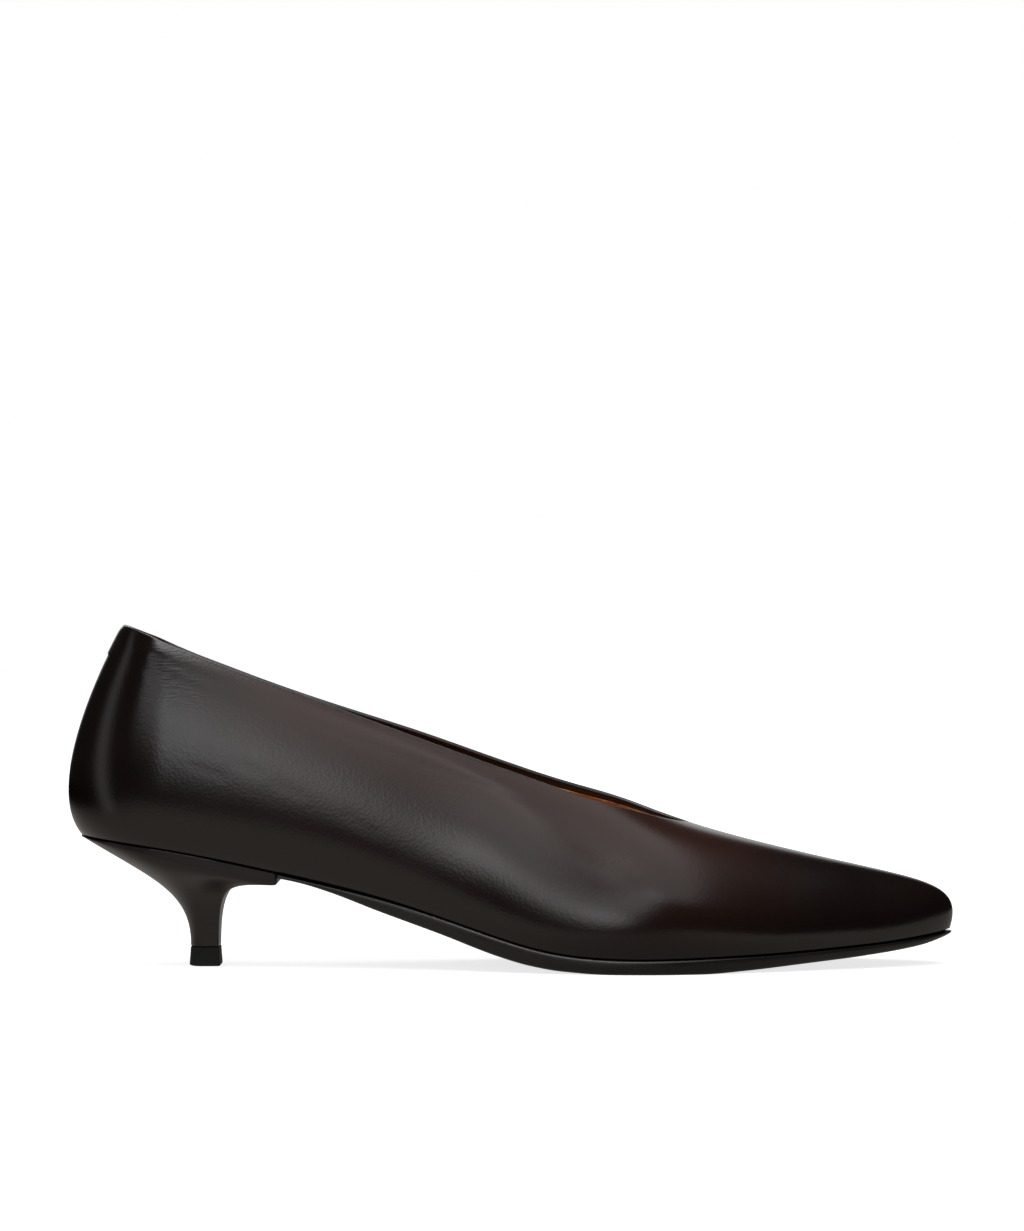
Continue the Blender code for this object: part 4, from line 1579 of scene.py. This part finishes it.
@dataclass(frozen=True)
class Studio:
    """The plain pale floor, the soft lights, the surroundings and the camera."""

    camera_place: tuple[float, float, float] = (0.0001, -1.1992, 0.10344)
    lens: float = 118.4
    sensor: float = 36.0
    clip: Span = (0.05, 50.0)
    floor_half: float = 6.0
    floor_lines: int = 3
    floor_colour: Colour = (0.80, 0.80, 0.80)
    floor_roughness: float = 0.9
    near_glow: Colour = (0.76, 0.76, 0.76)
    floor_fade: Span = (0.25, 0.9)
    floor_in_gloss: Colour = (0.46, 0.42, 0.385)
    # Painted shadow in the floor's glow as seen in the gloss, where the shoe's ball stands
    shade_middle: float = 0.045
    shade_half: float = 0.10
    shade_depth: float = 0.45
    table_edge: Span = (-0.34, -0.25)
    table_side: Span = (-0.46, -0.15)
    white: float = 1.0
    fill: float = 0.15
    dim_room: float = 0.015
    panels: tuple[Panel, ...] = (
        Panel(
            "front_softbox", (0.035, -0.5, 0.398), (0.035, 0.0, 0.398), (0.697, 0.325),
            watts=1.0105, turn=60.0, soft=0.38,
        ),
        Panel(
            "quarter_softbox", (-0.104, -0.52, 0.162), (-0.104, 0.0, 0.162), (0.204, 0.304),
            watts=0.5747, turn=28.0, soft=0.5,
        ),
        Panel(
            "side_softbox", (-0.31, -0.51, 0.306), (-0.31, 0.0, 0.306), (0.5, 0.322),
            watts=0.607, turn=-21.0, soft=0.35,
        ),
        Panel(
            "overhead_softbox", (0.142, -0.067, 0.43), (0.142, -0.067, 0.0), (0.385, 1.1),
            watts=1.224, turn=18.5,
        ),
        Panel(
            "topline_softbox", (-0.086, -0.181, 0.445), (-0.086, -0.181, 0.0), (0.3, 0.5),
            watts=2.5447, turn=-14.0, soft=0.35,
        ),
        Panel("edge_softbox", (-0.1, 0.3, 0.48), (-0.1, 0.3, 0.0), (0.2, 0.5), watts=0.7854, soft=0.3),
        Panel("back_card", (0.0, 1.5, 0.37), (0.0, 0.0, 0.08), (1.6, 0.78), watts=2.9013),
        Panel(
            "heel_strip", (-0.27, -0.06, 0.075), (0.0, -0.06, 0.075), (0.085, 0.6),
            watts=0.0993, turn=35.0, soft=0.5,
        ),
    )

    def build_camera(self) -> bpy.types.Object:
        """Stand the camera level, square to the shoe's length.

        Returns:
            The camera.
        """
        data = bpy.data.cameras.new("camera")
        data.lens = self.lens
        data.sensor_width = self.sensor
        data.clip_start, data.clip_end = self.clip
        camera = show("camera", data)
        camera.location = self.camera_place
        camera.rotation_euler = (math.pi / 2, 0.0, 0.0)
        bpy.context.scene.camera = camera
        return camera

    def build_floor(self) -> bpy.types.Object:
        """Lay the floor: a flat square grid, matt and pale.

        Returns:
            The floor.
        """
        line = np.linspace(-self.floor_half, self.floor_half, self.floor_lines)
        points = points_of(*np.meshgrid(line, line), 0.0).reshape(-1, 3)
        faces = grid_faces(self.floor_lines, self.floor_lines, 0)[:, ::-1]
        mesh = bpy.data.meshes.new("floor")
        mesh.from_pydata(points.tolist(), [], faces.tolist())
        mesh.materials.append(self.floor_finish())
        floor = show("floor", mesh)
        floor.visible_diffuse = False
        return floor

    def floor_finish(self) -> bpy.types.Material:
        """Build the floor's finish: pale to the camera, and in the gloss a glowing table with a painted
        shadow strip.

        Returns:
            The material.
        """
        finish = bpy.data.materials.new("pale_floor")
        finish.use_nodes = True
        shader = finish.node_tree.nodes["Principled BSDF"]
        tree = NodeTree(finish.node_tree)
        place = tree.add("ShaderNodeTexCoord").outputs["Object"]
        seen = tree.add("ShaderNodeLightPath").outputs["Is Camera Ray"]
        tree.join(tree.mix(seen, BLACK, self.floor_colour), shader.inputs["Base Color"])
        distance = tree.add("ShaderNodeVectorMath", operation="LENGTH")
        tree.join(place, distance.inputs[0])
        far = tree.ramp(distance.outputs["Value"], *self.floor_fade)
        glow = tree.mix(far, self.near_glow, WHITE)
        # In the gloss only, the floor glows as a table that the shoe reflects, with a painted shadow strip
        # dimming it where the shoe's ball stands
        split = tree.add("ShaderNodeSeparateXYZ")
        tree.join(place, split.inputs[0])
        from_edge = tree.ramp(split.outputs["Y"], *self.table_edge)
        from_side = tree.ramp(split.outputs["X"], *self.table_side)
        table = tree.maths("MULTIPLY", from_edge, from_side)
        offset = tree.maths("SUBTRACT", split.outputs["X"], self.shade_middle)
        shade = tree.ramp(tree.maths("ABSOLUTE", offset, 0.0), self.shade_half, 0.0)
        lit = tree.maths("SUBTRACT", 1.0, tree.maths("MULTIPLY", shade, self.shade_depth))
        in_gloss = tree.mix(tree.maths("MULTIPLY", table, lit), BLACK, self.floor_in_gloss)
        tree.join(tree.mix(seen, in_gloss, glow), shader.inputs["Emission Color"])
        shader.inputs["Emission Strength"].default_value = 1.0
        shader.inputs["Roughness"].default_value = self.floor_roughness
        shader.inputs["Specular IOR Level"].default_value = 0.0
        return finish

    def build_surroundings(self) -> None:
        """Set the surroundings: white to the camera, an even matt fill, and a dim room in the gloss."""
        world = bpy.data.worlds.new("studio")
        world.use_nodes = True
        bpy.context.scene.world = world
        world.node_tree.nodes.clear()
        tree = NodeTree(world.node_tree)
        path = tree.add("ShaderNodeLightPath")
        gloss = tree.maths("MULTIPLY", path.outputs["Is Glossy Ray"], self.dim_room)
        plain = tree.maths("SUBTRACT", 1.0, path.outputs["Is Glossy Ray"])
        seen = tree.maths("MULTIPLY", path.outputs["Is Camera Ray"], self.white - self.fill)
        even = tree.maths("MULTIPLY", plain, tree.maths("ADD", seen, self.fill))
        background = tree.add("ShaderNodeBackground", Color=(*WHITE, 1.0))
        tree.join(tree.maths("ADD", gloss, even), background.inputs["Strength"])
        tree.join(background.outputs[0], tree.add("ShaderNodeOutputWorld").inputs["Surface"])

    def build(self) -> None:
        """Build the floor, the lights, the surroundings and the camera."""
        self.build_floor()
        self.build_surroundings()
        for panel in self.panels:
            panel.build()
        self.build_camera()
        bpy.context.scene.view_settings.view_transform = "Standard"


def main() -> None:
    logging.basicConfig(level=logging.INFO, format="%(name)s %(message)s")
    last = Last()
    collar = Collar()
    fold = Fold()
    heel = Heel(last)
    Upper(last, collar, fold).build()
    Lining(last, collar, fold).build()
    Sock(last).build()
    Outsole(last).build()
    heel.build_heel()
    heel.build_lift()
    BackTab(last).build()
    Studio().build()


if __name__ == "__main__":
    main()
